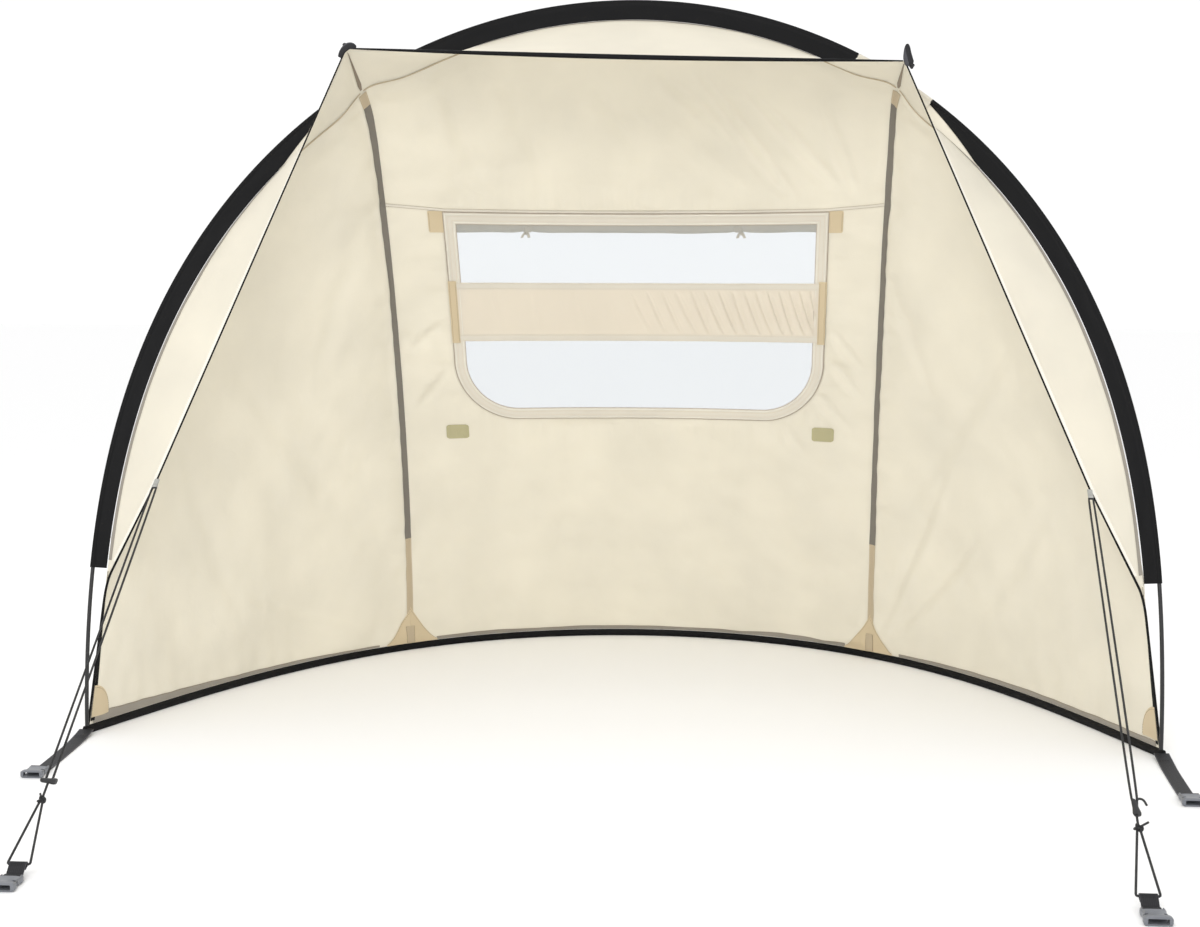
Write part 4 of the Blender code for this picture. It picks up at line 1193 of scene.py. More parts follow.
def corner_patch(name, grid, at_end, reach, rise, hollow, panel, base=0.0):
    """A patch in a lower corner of a panel, hollow like a fillet or full like a quarter disc; its tan is painted
    shade.
    """
    length = run_along(grid[0])[-1]
    a = np.linspace(0, 1, 22)[:, None]
    curve = (1 - a) ** 1.4 if hollow else np.sqrt(1 - a**2)
    curve = 0.05 + 0.95 * curve
    share = a * reach / length
    share = 1 - share if at_end else share
    points = beside(grid, "bottom", share, base + rise * curve * np.linspace(0, 1, 14)[None])
    trim(name, points, tan_tape_and_shade, "tape", panel, 0.0017, seams=(0.93,), thread="brown")


for name, side in SIDES.items():
    corner_patch(f"wing_patch_back_{name}", BACK_RELIEF, side > 0, 0.066, 0.080, True, "back_cloth")
    corner_patch(f"wing_patch_side_{name}", SIDE[name], False, 0.060, 0.074, True, f"side_cloth_{name}")
    corner_patch(f"corner_patch_{name}", SIDE[name], True, 0.046, 0.056, False, f"side_cloth_{name}", 0.012)
    tab = over_rib(name, 0.016, 0.052, (0.0195, 0.0195), 14)
    edges = (0.03, 0.97)
    trim(f"foot_tab_{name}", tab, seam_tape_and_shade, "tape", "back_cloth", 0.0026, 0.0008, edges, "brown")

# %% Front hem of the visor
HEMMED = {"visor_roof_cloth": ROOF, "visor_cloth_left": VISOR["left"], "visor_cloth_right": VISOR["right"]}
for panel, grid in HEMMED.items():
    share = np.linspace(0.02, 0.98, 200)[:, None]
    hem = beside(grid, "bottom", share, 0.0010 + 0.0072 * STRIP)
    trim(f"hem_{panel}", hem, hem_taffeta, "cream_fabric", panel, -0.0011, 0.0006, seams=(0.86,))
    # Along the arch seam on the outside, a dark strip of painted shade, where the sleeve's seam allowance shows
    # through.
    strip = beside(grid, "top", share, 0.0006 + 0.0064 * STRIP)
    trim(f"arch_strip_{panel}", strip, seen_through_shade, "black_fabric", panel, -0.0010)
print("sewn pieces:", sum(len(pieces) for pieces in TRIMS.values()))

# %% [markdown]
# ## Window
# The window is a sheet of clear film with a tape sewn over its edge, a satin band across it whose right half
# is gathered, and small patches beside it. All of it lies on the back panel, so we first make a table of the
# panel's depth at every x and height and place each piece with it.

# %% The back panel as a surface to build on
STEP = 0.004
TABLE_X = np.arange(-0.484, 0.4841, STEP)
TABLE_Z = np.arange(0.400, 1.0401, STEP)


def depth_table():
    """The back panel's y over even steps of x and height."""
    level = np.array([at_height(line, TABLE_Z) for line in BACK_RELIEF.transpose(1, 0, 2)]).transpose(1, 0, 2)
    return np.array([np.interp(TABLE_X, row[:, 0], row[:, 1]) for row in level])


TABLE = depth_table()


def depth(x, z):
    """The back panel's y at x and height z."""
    column = np.clip((x - TABLE_X[0]) / STEP, 0, len(TABLE_X) - 1.001)
    row = np.clip((z - TABLE_Z[0]) / STEP, 0, len(TABLE_Z) - 1.001)
    i, j = row.astype(int), column.astype(int)
    a, b = row - i, column - j
    low = TABLE[i, j] * (1 - b) + TABLE[i, j + 1] * b
    high = TABLE[i + 1, j] * (1 - b) + TABLE[i + 1, j + 1] * b
    return low * (1 - a) + high * a


def back_frame(x, z):
    """Points on the back panel and its outward normals."""
    x, z = np.broadcast_arrays(np.asarray(x, float), np.asarray(z, float))
    slope_x = (depth(x + STEP, z) - depth(x - STEP, z)) / (2 * STEP)
    slope_z = (depth(x, z + STEP) - depth(x, z - STEP)) / (2 * STEP)
    normal = unit(np.stack([-slope_x, np.ones(x.shape), -slope_z], axis=-1))
    return np.stack([x, depth(x, z), z], axis=-1), normal


def on_back(x, z, lift=0.0):
    """Points on the back panel, lifted towards the inside."""
    point, normal = back_frame(x, z)
    return point - normal * np.broadcast_to(lift, point.shape[:-1])[..., None]


def window_loop(distance):
    """Points round the window's outline moved out by a distance, from the head's left end and back to it."""
    half, low, high = WINDOW_HALF + distance, WINDOW_FOOT - distance, WINDOW_HEAD + distance
    corner = WINDOW_CORNER + distance
    flat, rise = half - corner, low + corner
    turn = np.linspace(0, pi / 2, 26)
    left_turn = np.column_stack([-flat - corner * np.cos(turn), rise - corner * np.sin(turn)])
    right_turn = np.column_stack([flat + corner * np.sin(turn), rise - corner * np.cos(turn)])
    sides = np.linspace(high, rise, 50)[:-1]
    foot = np.linspace(-flat, flat, 80)[1:-1]
    head = np.linspace(half, -half, 110)[1:]
    return np.vstack([
        np.column_stack([np.full(len(sides), -half), sides]),
        left_turn,
        np.column_stack([foot, np.full(len(foot), low)]),
        right_turn,
        np.column_stack([np.full(len(sides), half), sides[::-1]]),
        np.column_stack([head, np.full(len(head), high)]),
    ])


# %% Film and binding
GLASS_LIFT, BINDING_LIFT, BAND_LIFT, END_LIFT = 0.0010, 0.0019, 0.0034, 0.0046
FILM_MARGIN = 0.002
heights = np.linspace(WINDOW_FOOT - FILM_MARGIN, WINDOW_HEAD + FILM_MARGIN, 90)
corner = WINDOW_CORNER + FILM_MARGIN
below = np.clip(WINDOW_FOOT - FILM_MARGIN + corner - heights, 0, corner)
half = WINDOW_HALF + FILM_MARGIN - corner + np.sqrt(np.maximum(corner**2 - below**2, 0))
x = half[:, None] * np.linspace(-1, 1, 120)[None]
z = np.broadcast_to(heights[:, None], x.shape)
inside = held(-outline_distance(x, z), 0.05)
film = on_back(x, z, GLASS_LIFT + 0.0006 * inside * soft_noise(np.stack([x, z * 0, z], -1), 0.16, 71))
hand_over(cloth("window_film", film, 0.0003), clear_film, "clear_film", "window_pane")


def round_window(distances, lift):
    """Points on the back panel round the window, in one or more loops at distances out from its outline."""
    loops = np.stack([window_loop(distance) for distance in distances], axis=1)
    return on_back(loops[..., 0], loops[..., 1], lift)


BINDING_REACH = (0.0035, 0.0030, -0.0005, -0.0040, -0.0120, -0.0150, -0.0180, -0.0190)
BINDING_RISE = np.array([0.0, 0.0006, 0.0007, 0.0003, 0.0003, 0.0006, 0.0006, 0.0])
binding = cloth("window_binding_tape", round_window(BINDING_REACH, BINDING_LIFT + BINDING_RISE), 0.0006)
sew_on("back_cloth", binding, binding_tape, "tape", "window_binding")
WELTS = (
    ("outer", 0.0008, 0.0034, 0.0010, welt_tape),
    ("inner", -0.0155, 0.0030, 0.0010, welt_tape),
    ("outer_line", 0.0036, 0.0024, 0.0008, taupe_tape),
    ("inner_line", -0.0190, 0.0022, 0.0007, taupe_tape),
)
for label, distance, lift, thick, look in WELTS:
    welt = rod(f"window_welt_{label}", round_window([distance], lift)[:, 0], thick)
    sew_on("back_cloth", welt, look, "tape")
for distance in (-0.0042, -0.0118):
    SEWN["cream"].append(round_window([distance], BINDING_LIFT + 0.0008)[:, 0])
facing = cloth("window_facing", round_window((0.0045, 0.0, -0.0055), -0.0009), 0.0005)
sew_on("back_cloth", facing, hem_taffeta, "tape")
print("window film area:", round(panel_area(film), 3))

# %% Satin band with its gathers
BAND_HALF, BAND_FOOT, BAND_HEAD = 0.380, 0.662, 0.782
GATHERS = (0.000, 0.030, 0.062, 0.092, 0.124, 0.152, 0.180, 0.206, 0.232, 0.255, 0.278, 0.300, 0.322, 0.342,
           0.360)
SLACK_FOLDS = (-0.30, -0.22, -0.13, -0.06)
x, z = np.meshgrid(np.linspace(-BAND_HALF, BAND_HALF, 300), np.linspace(BAND_FOOT, BAND_HEAD, 60))
gathers = np.zeros(x.shape)
rng = np.random.default_rng(5)
for place in GATHERS:
    lean = 0.050 * (1 - place) + rng.uniform(-0.006, 0.006)
    size = 0.0048 + 0.0012 * rng.uniform(-1, 1)
    strength = (0.0026 + 0.0135 * place**0.7) * rng.uniform(0.8, 1.1)
    start = (place - lean * 0.4, BAND_HEAD - 0.008)
    end = (place + lean * 0.6, BAND_FOOT + 0.008)
    gathers = gathers + crease(x, z, start, end, size, strength)
for place in SLACK_FOLDS:
    start, end = (place, BAND_HEAD - 0.01), (place + 0.02, BAND_FOOT + 0.01)
    gathers = gathers + crease(x, z, start, end, 0.006, 0.0007)
hems = held(np.minimum(z - BAND_FOOT, BAND_HEAD - z) - 0.010, 0.012)
gathers = np.maximum(gathers, -0.0012) * held(0.366 - np.abs(x), 0.012)
band = on_back(x, z, BAND_LIFT + gathers * hems + 0.0004 * ripple(x, 0.09, 72))
satin_band = hand_over(cloth("satin_band", band, 0.0005), satin, "cream_fabric", "window_band")


def hem_lift(x):
    """How far the band's hems stand off the panel, slightly wavy where the band is gathered."""
    return BAND_LIFT + 0.0006 + 0.0004 * ripple(x, 0.09, 72) + 0.0003 * ripple(x, 0.02, 73) * held(x, 0.2)


for label, low in (("foot", BAND_FOOT), ("head", BAND_HEAD - 0.0135)):
    x, z = np.meshgrid(np.linspace(-BAND_HALF, BAND_HALF, 240), np.linspace(low, low + 0.0135, 5))
    hem = cloth(f"band_hem_{label}", on_back(x, z, hem_lift(x)), 0.0004)
    hand_over(hem, binding_tape, "tape")
    for row in (0.0018, 0.0118):
        x = np.linspace(-BAND_HALF + 0.01, BAND_HALF - 0.01, 300)
        SEWN["cream"].append(on_back(x, low + row, hem_lift(x) + 0.0004))
for name, side in SIDES.items():
    heights = np.linspace(BAND_FOOT - 0.003, BAND_HEAD + 0.003, 40)
    x, z = np.meshgrid(side * np.linspace(0.3665, 0.3815, 6), heights)
    end = cloth(f"band_end_{name}", on_back(x, z, END_LIFT), 0.0006)
    hand_over(end, tan_tape_and_shade, "tape", f"band_end_tape_{name}")
    for row in (0.3685, 0.3795):
        SEWN["brown"].append(on_back(side * row, np.linspace(BAND_FOOT, BAND_HEAD, 60), END_LIFT + 0.0005))
cut_size(band)
panel_area(band)


# %% Patches beside the window and the tape above it
def rounded(low_x, high_x, low_z, high_z, radius, rows=16, columns=20):
    """x and z over a rectangle with round corners."""
    z = np.linspace(low_z, high_z, rows)
    deep = np.clip(radius - np.minimum(z - low_z, high_z - z), 0, radius)
    inset = radius - np.sqrt(np.maximum(radius**2 - deep**2, 0))
    share = np.linspace(0, 1, columns)[None]
    x = (low_x + inset)[:, None] * (1 - share) + (high_x - inset)[:, None] * share
    return x, np.broadcast_to(z[:, None], x.shape)


def back_patch(name, area, radius, look, slot, lift, *nodes):
    """A patch on the back panel, with round corners."""
    x, z = rounded(*area, radius)
    sew_on("back_cloth", cloth(name, on_back(x, z, lift), 0.0008), look, slot, *nodes)


for name, side in SIDES.items():
    hook = (*sorted((side * 0.360, side * 0.404)), 0.455, 0.484)
    back_patch(f"hook_tape_{name}", hook, 0.005, hook_tape, "hook_tape", 0.0017, f"hook_patch_{name}")
    # The square patches sit on the outside of the panel; drawn here on its inside in tan, they are painted shade
    # of the patches showing through the cloth.
    square = (*sorted((side * 0.3775, side * 0.4065)), 0.880, 0.921)
    back_patch(f"square_patch_{name}", square, 0.0015, tan_tape_and_shade, "tape", 0.0013)
    for x in (side * 0.3795, side * 0.4045):
        SEWN["brown"].append(on_back(x, np.linspace(0.883, 0.918, 20), 0.0020))
x = np.linspace(-0.482, 0.482, 260)
head_z = np.interp(np.abs(x), [0.375, 0.482], [0.9230, 0.9310])
rows = head_z[:, None] + np.linspace(-0.0030, 0.0030, 4)[None]
head_tape = cloth("head_tape", on_back(x[:, None], rows, 0.0012), 0.0004)
sew_on("back_cloth", head_tape, binding_tape, "tape", "seam_tape")
for shift in (-0.0024, 0.0024):
    SEWN["brown"].append(on_back(x, head_z + shift, 0.0017))
print("rows of stitches:", {colour: len(lines) for colour, lines in SEWN.items()})

# %% [markdown]
# ## Rolled cover
# The cover is a cloth as wide as the window. It hangs from the seam above the window on the outside and is
# rolled up from its free edge, so its section is a spiral: down the panel, round the bottom, and in. Two ties
# pinch it, and each ends in a knot with two short tails.

# %% Cover roll
ROLL_RADIUS, ROLL_HEIGHT, ROLL_CORE, ROLL_TURNS = 0.0145, 0.888, 0.0045, 6.3
COVER_SEAM = 0.9255
TIE_X = {"left": -0.218, "right": 0.201}
TAIL_STEPS = ((0, 0), (0.005, 0.004), (0.008, 0.013))


def roll_frame(x):
    """The roll's axis, its outward and upward directions at each x, and how far the ties squeeze it."""
    point, out = back_frame(x, np.full(len(x), ROLL_HEIGHT))
    upward = unit(UP - out * out[:, 2:3])
    squeeze = np.ones(len(x))
    for place in TIE_X.values():
        squeeze = squeeze - 0.20 * np.exp(-(((x - place) / 0.016) ** 2))
    return point + out * (ROLL_RADIUS + 0.0016), out, upward, squeeze


stations = np.linspace(-0.366, 0.366, 150)
axis, out, upward, squeeze = roll_frame(stations)
turns = np.linspace(0, 1, 190)
angle = pi + turns * 2 * pi * ROLL_TURNS
spiral = ROLL_RADIUS + (ROLL_CORE - ROLL_RADIUS) * turns
wobble = 1 + 0.05 * ripple(stations, 0.09, 81)
lumps = 1 + 0.012 * np.sin(3 * angle)[None] * np.sin(stations * 60)[:, None]
reach = (spiral[None] * (squeeze * wobble)[:, None] * lumps)[..., None]
heading = out[:, None] * np.cos(angle)[:, None] + upward[:, None] * np.sin(angle)[:, None]
section = axis[:, None] + reach * heading
hang_z = np.linspace(COVER_SEAM, ROLL_HEIGHT + 0.003, 9)[:-1]
hang = on_back(stations[:, None], hang_z[None], -0.0012)
cover_points = np.concatenate([hang, section], axis=1)
cover = cloth("cover_roll_cloth", cover_points, 0.0004, 80)
hand_over(cover, cover_taffeta, "cream_fabric", "cover_roll")
print("cover's cut:", cut_size(cover_points))


def knot_line(centre, first, second, third, size, count=60):
    """A knot's line, for the lump where two ends are tied."""
    t = np.linspace(0.01, 2 * pi - 0.01, count)[:, None]
    a = np.sin(t) + 2 * np.sin(2 * t)
    b = np.cos(t) - 2 * np.cos(2 * t)
    return centre + size / 3 * (first * a + second * b - third * np.sin(3 * t))


cover_trims = []
for name, place in TIE_X.items():
    xs = place + np.linspace(-0.0070, 0.0070, 7)
    axis, out, upward, squeeze = roll_frame(xs)
    angle = np.radians(np.linspace(100, -170, 40))[:, None, None]
    size = (ROLL_RADIUS * squeeze + 0.0012)[None, :, None]
    loop = axis[None] + size * (out[None] * np.cos(angle) + upward[None] * np.sin(angle))
    top = on_back(xs[None], np.array([[COVER_SEAM], [0.915]]), -0.0022)
    bridge = (top[-1] + loop[0]) / 2 + np.array([0, 0.004, 0.002])
    end = on_back(xs[None], np.array([[0.884], [0.890], [0.898]]), -0.0024)
    band = np.concatenate([top, bridge[None], loop, end])
    tie = hand_over(cloth(f"cover_tie_tape_{name}", band, 0.0007), tie_tape, "tape", f"cover_tie_{name}")
    knot_at = loop[26].mean(axis=0) + out[3] * 0.003 - upward[3] * 0.004
    knot = knot_line(knot_at, ACROSS, upward[3], out[3], 0.0042)
    lump = rod(f"cover_knot_{name}", knot, 0.0024, resolution=3)
    cover_trims += [tie, hand_over(lump, tie_tape, "tape")]
    tail_width = unit(ACROSS + out[3] * 0.4) * np.linspace(-0.003, 0.003, 3)[None, :, None]
    for label, way in (("a", -1.0), ("b", 0.8)):
        line = [knot_at + ACROSS * way * across - upward[3] * drop for across, drop in TAIL_STEPS]
        tail = cloth(f"cover_tail_{name}_{label}", eased(line)[:, None] + tail_width, 0.0007)
        cover_trims.append(hand_over(tail, tie_tape, "tape"))
cut_size(cover_points)

# %% [markdown]
# ## Poles, sleeves and ring
# The arch pole shows bare near its feet and runs in three flat black sleeves. Each sleeve is one strip folded
# round the pole, with both edges sewn into the seam. Between the sleeves, where the ribs cross, a cream strip
# is folded round the pole in the same way. The base ring's sleeve is round above and flat underneath.

# %% Arch pole and its sleeves
FIN_LAYER, FIN_HEM, FOLD_REACH, FIN_TAPER, FIN_TIP = 0.0009, 0.0022, 0.0048, 0.17, 0.0062
SLEEVE_ENDS = {
    "left": (seam_low_index(-1, 0.285), arch_index(-0.545), arch_index(-0.545)),
    "top": (arch_index(-0.415), arch_index(0.415), None),
    "right": (arch_index(0.545), seam_low_index(1, 0.285), arch_index(0.545)),
}
hand_over(rod("arch_rod", ARCH[::4], POLE_RADIUS), pole_look, "pole", "arch_pole")


def fin_rows(start, end, narrow_end):
    """Rows of points across a folded sleeve, from edge round the pole to edge, narrower near one end."""
    rows = []
    share = np.linspace(0, 1, 6)[:, None]
    for station in np.linspace(start, end, int((end - start) * 0.55)):
        centre = at_index(ARCH, station)
        inward = unit(at_index(ARCH_INWARD, station))
        normal = np.cross(unit(at_index(ARCH_TANGENT, station)), inward)
        fold = arc(centre, inward, normal, FOLD_REACH, 40, 320, 17)
        width = np.interp(station, ROWS, FIN) - FIN_HEM
        if narrow_end is not None:
            away = np.linalg.norm(centre - at_index(ARCH, narrow_end))
            width = min(width, FIN_TIP + (FIN_TOP - FIN_TIP) * away / FIN_TAPER)
        seam = centre + inward * width
        near = seam + normal * FIN_LAYER
        far = seam - normal * FIN_LAYER
        bulge = normal * 0.0009 * soft_noise(centre[None], 0.09, 91)[0] * np.sin(pi * share)
        upper_layer = near + (fold[0] - near) * share + bulge
        lower_layer = fold[-1] + (far - fold[-1]) * share + bulge
        rows.append(np.vstack([upper_layer[:-1], fold, lower_layer[1:]]))
    return np.array(rows)


for name, (start, end, narrow_end) in SLEEVE_ENDS.items():
    rows = fin_rows(start, end, narrow_end)
    fin = hand_over(cloth(f"fin_{name}", rows, 0.0006), black_taffeta, "black_fabric", f"arch_sleeve_{name}")
    cut_size(rows)
    panel_area(rows)
    print("sleeve cut:", name, cut_size(rows))
GUSSET_ENDS, WRAP_ENDS = (0.500, 0.705), (0.417, 0.546)
for name, side in SIDES.items():
    panel = f"side_cloth_{name}"
    stations = np.linspace(*[arch_index(side * across) for across in GUSSET_ENDS], 60)
    centre, seam_line = at_index(ARCH, stations), at_index(SEAM, stations)
    outer = centre + unit(seam_line - centre) * POLE_RADIUS
    share = np.linspace(0, 1, 8)[None, :, None]
    gusset = cloth(f"arch_gusset_{name}", seam_line[:, None] * (1 - share) + outer[:, None] * share)
    sew_on(panel, gusset, cream_taffeta, "cream_fabric")
    wrap = fin_rows(*sorted(arch_index(side * across) for across in WRAP_ENDS), None)
    sew_on(panel, cloth(f"arch_wrap_{name}", wrap), cream_taffeta, "cream_fabric")

# %% Ribs
TUBE_RADIUS = 0.0044
RIB_TUBES = (
    ("rib_sleeve_cloth", (0.245, 1.115, 240, 95), black_taffeta, "black_fabric", "rib_sleeve"),
    ("foot_pocket", (0.017, 0.052, 14, 96), seam_tape_and_shade, "tape", "base_pocket"),
)


def tube_rows(line, low, high, count, seed):
    """Rows of points round a rod between two heights, with the sleeve's small wrinkles."""
    heights = np.linspace(low, high, count)
    points = at_height(line, heights)
    tangent = unit(np.gradient(points, axis=0))
    first = unit(np.cross(tangent, ACROSS))
    second = np.cross(tangent, first)
    angle = np.linspace(0, 2 * pi, 21)[None, :, None]
    reach = TUBE_RADIUS + 0.0003 * ripple(heights, 0.018, seed)[:, None, None] * (1 + np.cos(angle))
    return points[:, None] + reach * (first[:, None] * np.cos(angle) + second[:, None] * np.sin(angle))


for name in SIDES:
    pole = f"rib_pole_{name}"
    hand_over(rod(f"rib_rod_{name}", RIB_ROD[name], POLE_RADIUS), pole_look, "pole", pole)
    for label, extent, look, slot, node in RIB_TUBES:
        rows = tube_rows(RIB_ROD[name], *extent)
        tube = hand_over(cloth(f"{label}_{name}", rows, 0.0005), look, slot, f"{node}_{name}")
        cut_size(rows)
        panel_area(rows)

# %% Base ring
RING_SIDES, RING_STATIONS, RING_DEPTH = 24, 460, 0.010


def ring_rings():
    """Cross-sections of the ring's sleeve: flat underneath, round above, slightly gathered along."""
    line = resample(RING, RING_STATIONS)
    out = unit(np.cross(np.gradient(line, axis=0), UP))
    angle = 2 * pi * np.arange(RING_SIDES) / RING_SIDES
    wide = squared_off(np.cos(angle), 0.75)
    tall = squared_off(np.sin(angle), np.where(np.sin(angle) < 0, 0.35, 0.85))
    gather = 1 + 0.05 * ripple(run_along(line), 0.03, 97)
    wide = wide[None, :, None] * gather[:, None, None] * RING_DEPTH / 2
    return line[:, None] + out[:, None] * wide + UP * (tall * RING_HEIGHT / 2)[None, :, None]


hand_over(skin("ring_sleeve", ring_rings()), black_taffeta, "black_fabric", "base_ring")

# %% [markdown]
# ## Front edge
# The black piping is thin at the peaks and thicker in the middle of the top. Low down, a black tape widens
# beside it, where the cloth is doubled for the guy lines' pull. At each peak a webbing pocket takes the rib's
# tip: upright on the right, and bent over the corner on the left.

# %% Piping and edge tape
PIPING_RADIUS, PIPING_TOP_RADIUS = 0.0022, 0.0029
EDGE_TAPE = {"left": (0.0095, 0.0080, 0.0025), "right": (0.0065, 0.0055, 0.0020)}


def piping(name, line, radius, swell):
    """One length of the black piping, with its thickness at each point."""
    edge = rod(f"piping_{name}", line, radius, swell)
    hand_over(edge, black_taffeta, "black_fabric", f"front_piping_{name}")


piping("top", front_top(60, 0.003), PIPING_TOP_RADIUS, 0.42 + 1.10 * np.sin(pi * np.linspace(0, 1, 60)) ** 0.9)
for name in SIDES:
    peak, guy, tip, corner_point = front_edge(name)
    start = peak + unit(guy - peak) * 0.003
    bend = eased([guy, guy * 0.2 + tip * 0.8, tip, tip * 0.7 + corner_point * 0.3])
    line = resample(np.vstack([start, bend, corner_point]), 150)
    piping(name, line, PIPING_RADIUS, np.interp(line[:, 2], [0.0, 0.25, 0.40, 1.2], [1.0, 1.0, 0.72, 0.60]))
    share = np.linspace(0.02, 0.97, 90)[:, None]
    wide = np.interp(share, [0, 0.2, 1], EDGE_TAPE[name])
    tape = beside(SIDE[name], "right", share, wide * STRIP)
    trim(f"edge_tape_{name}", tape, black_taffeta, "black_fabric", f"side_cloth_{name}", 0.0013, 0.0006)

# %% Peak pockets
POCKET_SEAT = 0.0078
POCKET_SPINE = {
    "left": ((-0.0070, -0.0165), (0.0000, -0.0030), (0.0110, 0.0050), (0.0225, 0.0000)),
    "right": ((0.006, -0.0080), (0.002, -0.0010), (0.000, 0.0120), (0.000, 0.0275)),
}
POCKET_WIDTHS = {
    "left": (0.0026, 0.0050, 0.0062, 0.0056, 0.0022),
    "right": (0.0050, 0.0084, 0.0080, 0.0055, 0.0012),
}
POCKET_DEPTHS = (0.0020, 0.0038, 0.0042, 0.0034, 0.0010)
BACKWARD = np.array([0.0, 1.0, 0.0])
for name, side in SIDES.items():
    foot = np.array([side * (RIB_X + 0.003), RIB_ROD[name][-1][1] - POCKET_SEAT, PEAK_HEIGHT[name]])
    spine = eased([foot + [shift, 0, height] for shift, height in POCKET_SPINE[name]])
    wide = unit(np.cross(unit(np.gradient(spine, axis=0)), BACKWARD))
    share = np.linspace(0, 1, len(spine))
    widths = np.interp(share, np.linspace(0, 1, 5), POCKET_WIDTHS[name])
    depths = np.interp(share, np.linspace(0, 1, 5), POCKET_DEPTHS)
    pocket = skin(f"peak_webbing_{name}", oval_rings(spine, wide, BACKWARD, widths, depths), 50)
    hand_over(pocket, webbing, "webbing", f"peak_pocket_{name}")
    if side > 0:
        knot = knot_line(foot + [0.0078, -0.0015, -0.0100], ACROSS, UP, BACKWARD, 0.0036)
        hand_over(rod("peak_knot", knot, 0.0017, resolution=3), braid, "webbing")

# %% [markdown]
# ## Straps and buckles
# Each strap is webbing that runs under the buckle's rear bar and back over it. The buckles are the socket
# halves: a moulded shell with a wide mouth at the front, an opening at each side for the plug's arms, and a bar
# at the rear. The shell is a skin over rounded sections that narrow at the waist; Booleans open it.

# %% Straps and buckles
WEB_WIDTH, WEB = 0.025, 0.0013
BUCKLE_LENGTH, BUCKLE_HEIGHT, BAR, BAR_HEIGHT = 0.040, 0.012, 0.0035, 0.005
CORNER_BUCKLE, GUY_BUCKLE = (0.898, -0.262), (0.728, -0.788)
SECTION_POWER, SLOT_HALF = 0.42, 0.01325
SHELL = ((-20.0, 16.8, 5.0), (-19.6, 17.6, 5.7), (-18.6, 18.0, 6.0), (-12.0, 18.0, 6.0), (-10.0, 17.6, 5.9),
         (-8.5, 16.2, 5.3), (-6.5, 15.4, 5.0), (-2.0, 15.0, 4.9), (3.0, 14.8, 4.9), (7.0, 15.2, 5.0),
         (10.0, 15.8, 5.4), (16.0, 15.8, 5.9), (19.0, 15.3, 5.6), (19.8, 14.6, 5.1), (20.0, 13.8, 4.4))


def block(low, high, bevel=0.0008):
    """A block between two corners with softened edges, for cutting."""
    low, high = np.array(low), np.array(high)
    thing = cube((low + high) / 2 + HOME, high - low)
    edit_all(thing, lambda: bpy.ops.mesh.bevel(offset=bevel, segments=2))
    return thing


def buckle(name, across, back, node):
    """The socket half of a side-release buckle, lying flat with its mouth towards the front."""
    angle = 2 * pi * (np.arange(36) + 0.5) / 36
    wide, high = squared_off(np.cos(angle), SECTION_POWER), squared_off(np.sin(angle), SECTION_POWER)
    middle = BUCKLE_HEIGHT / 2
    rings = []
    for row, half_width, half_height in np.array(SHELL) / 1000:
        section = [across + wide * half_width, np.full(36, back + row), middle + high * half_height]
        rings.append(np.column_stack(section))
    shell = skin(name, rings, 35)
    front, rear = back - BUCKLE_LENGTH / 2, back + BUCKLE_LENGTH / 2
    slot_front, slot_back = rear - BAR - 0.005, rear - BAR
    past = 0.010
    under, over = -past, BUCKLE_HEIGHT + past

    def open_up(half, low_y, high_y, low_z, high_z, bevel=0.0008):
        """Cut one opening that is alike on both sides of the middle."""
        cut(shell, block((across - half, low_y, low_z), (across + half, high_y, high_z), bevel))

    open_up(0.0130, front - past, front + 0.024, middle - 0.0034, middle + 0.0034)
    open_up(0.030, front + 0.010, front + 0.020, middle - 0.0028, middle + 0.0028)
    open_up(SLOT_HALF, slot_front, slot_back, under, over, 0.0005)
    open_up(SLOT_HALF, slot_front + 0.001, rear + past, under, middle - BAR_HEIGHT / 2, 0.0004)
    open_up(SLOT_HALF, slot_front + 0.001, rear + past, middle + BAR_HEIGHT / 2, over, 0.0004)
    for side in SIDES.values():
        low_x, high_x = sorted((across + side * 0.0095, across + side * 0.0145))
        cut(shell, block((low_x, back - 0.0075, middle + 0.001), (high_x, back - 0.0020, over), 0.0012))
    smooth(shell, 35)
    return hand_over(shell, grey_plastic, "buckle", node)


def round_bar(across, back):
    """The strap's path under the buckle's rear bar, up through the slot and back over the bar."""
    bar = np.array([across, back + BUCKLE_LENGTH / 2 - BAR / 2, BUCKLE_HEIGHT / 2])
    reach_y = BAR / 2 + GAP + WEB / 2
    reach_z = BAR_HEIGHT / 2 + GAP + WEB / 2
    turn = [(0.0030, -reach_z), (-reach_y * 0.6, -reach_z), (-reach_y, -reach_z * 0.5),
            (-reach_y, reach_z * 0.5), (-reach_y * 0.6, reach_z), (0.0032, reach_z - 0.0001)]
    return bar + np.array([[0, y, z] for y, z in turn])


def strap(name, points, width, node, rows_at):
    """A strip of webbing along a path, with rows of stitches across it at some distances along."""
    line = resample(eased(points, 3), max(40, int(run_along(points)[-1] / 0.0022)))
    rows = line[:, None] + ACROSS * np.linspace(-width / 2, width / 2, 9)[None, :, None]
    piece = hand_over(cloth(name, rows, WEB), webbing, "webbing", node)
    run = run_along(line)
    normals = unit(np.cross(np.gradient(line, axis=0), ACROSS))
    normals = normals * np.sign(normals[:, 2:3] + 0.001)
    lines = []
    for at in rows_at:
        middle = read_off(at, run, line) + read_off(at, run, normals) * (WEB / 2 + THREAD * 0.5)
        lines.append(middle + ACROSS * np.linspace(-width * 0.42, width * 0.42, 12)[:, None])
    sewn = [stitch_rows(f"{name}_stitches", lines, black_thread, "webbing")]


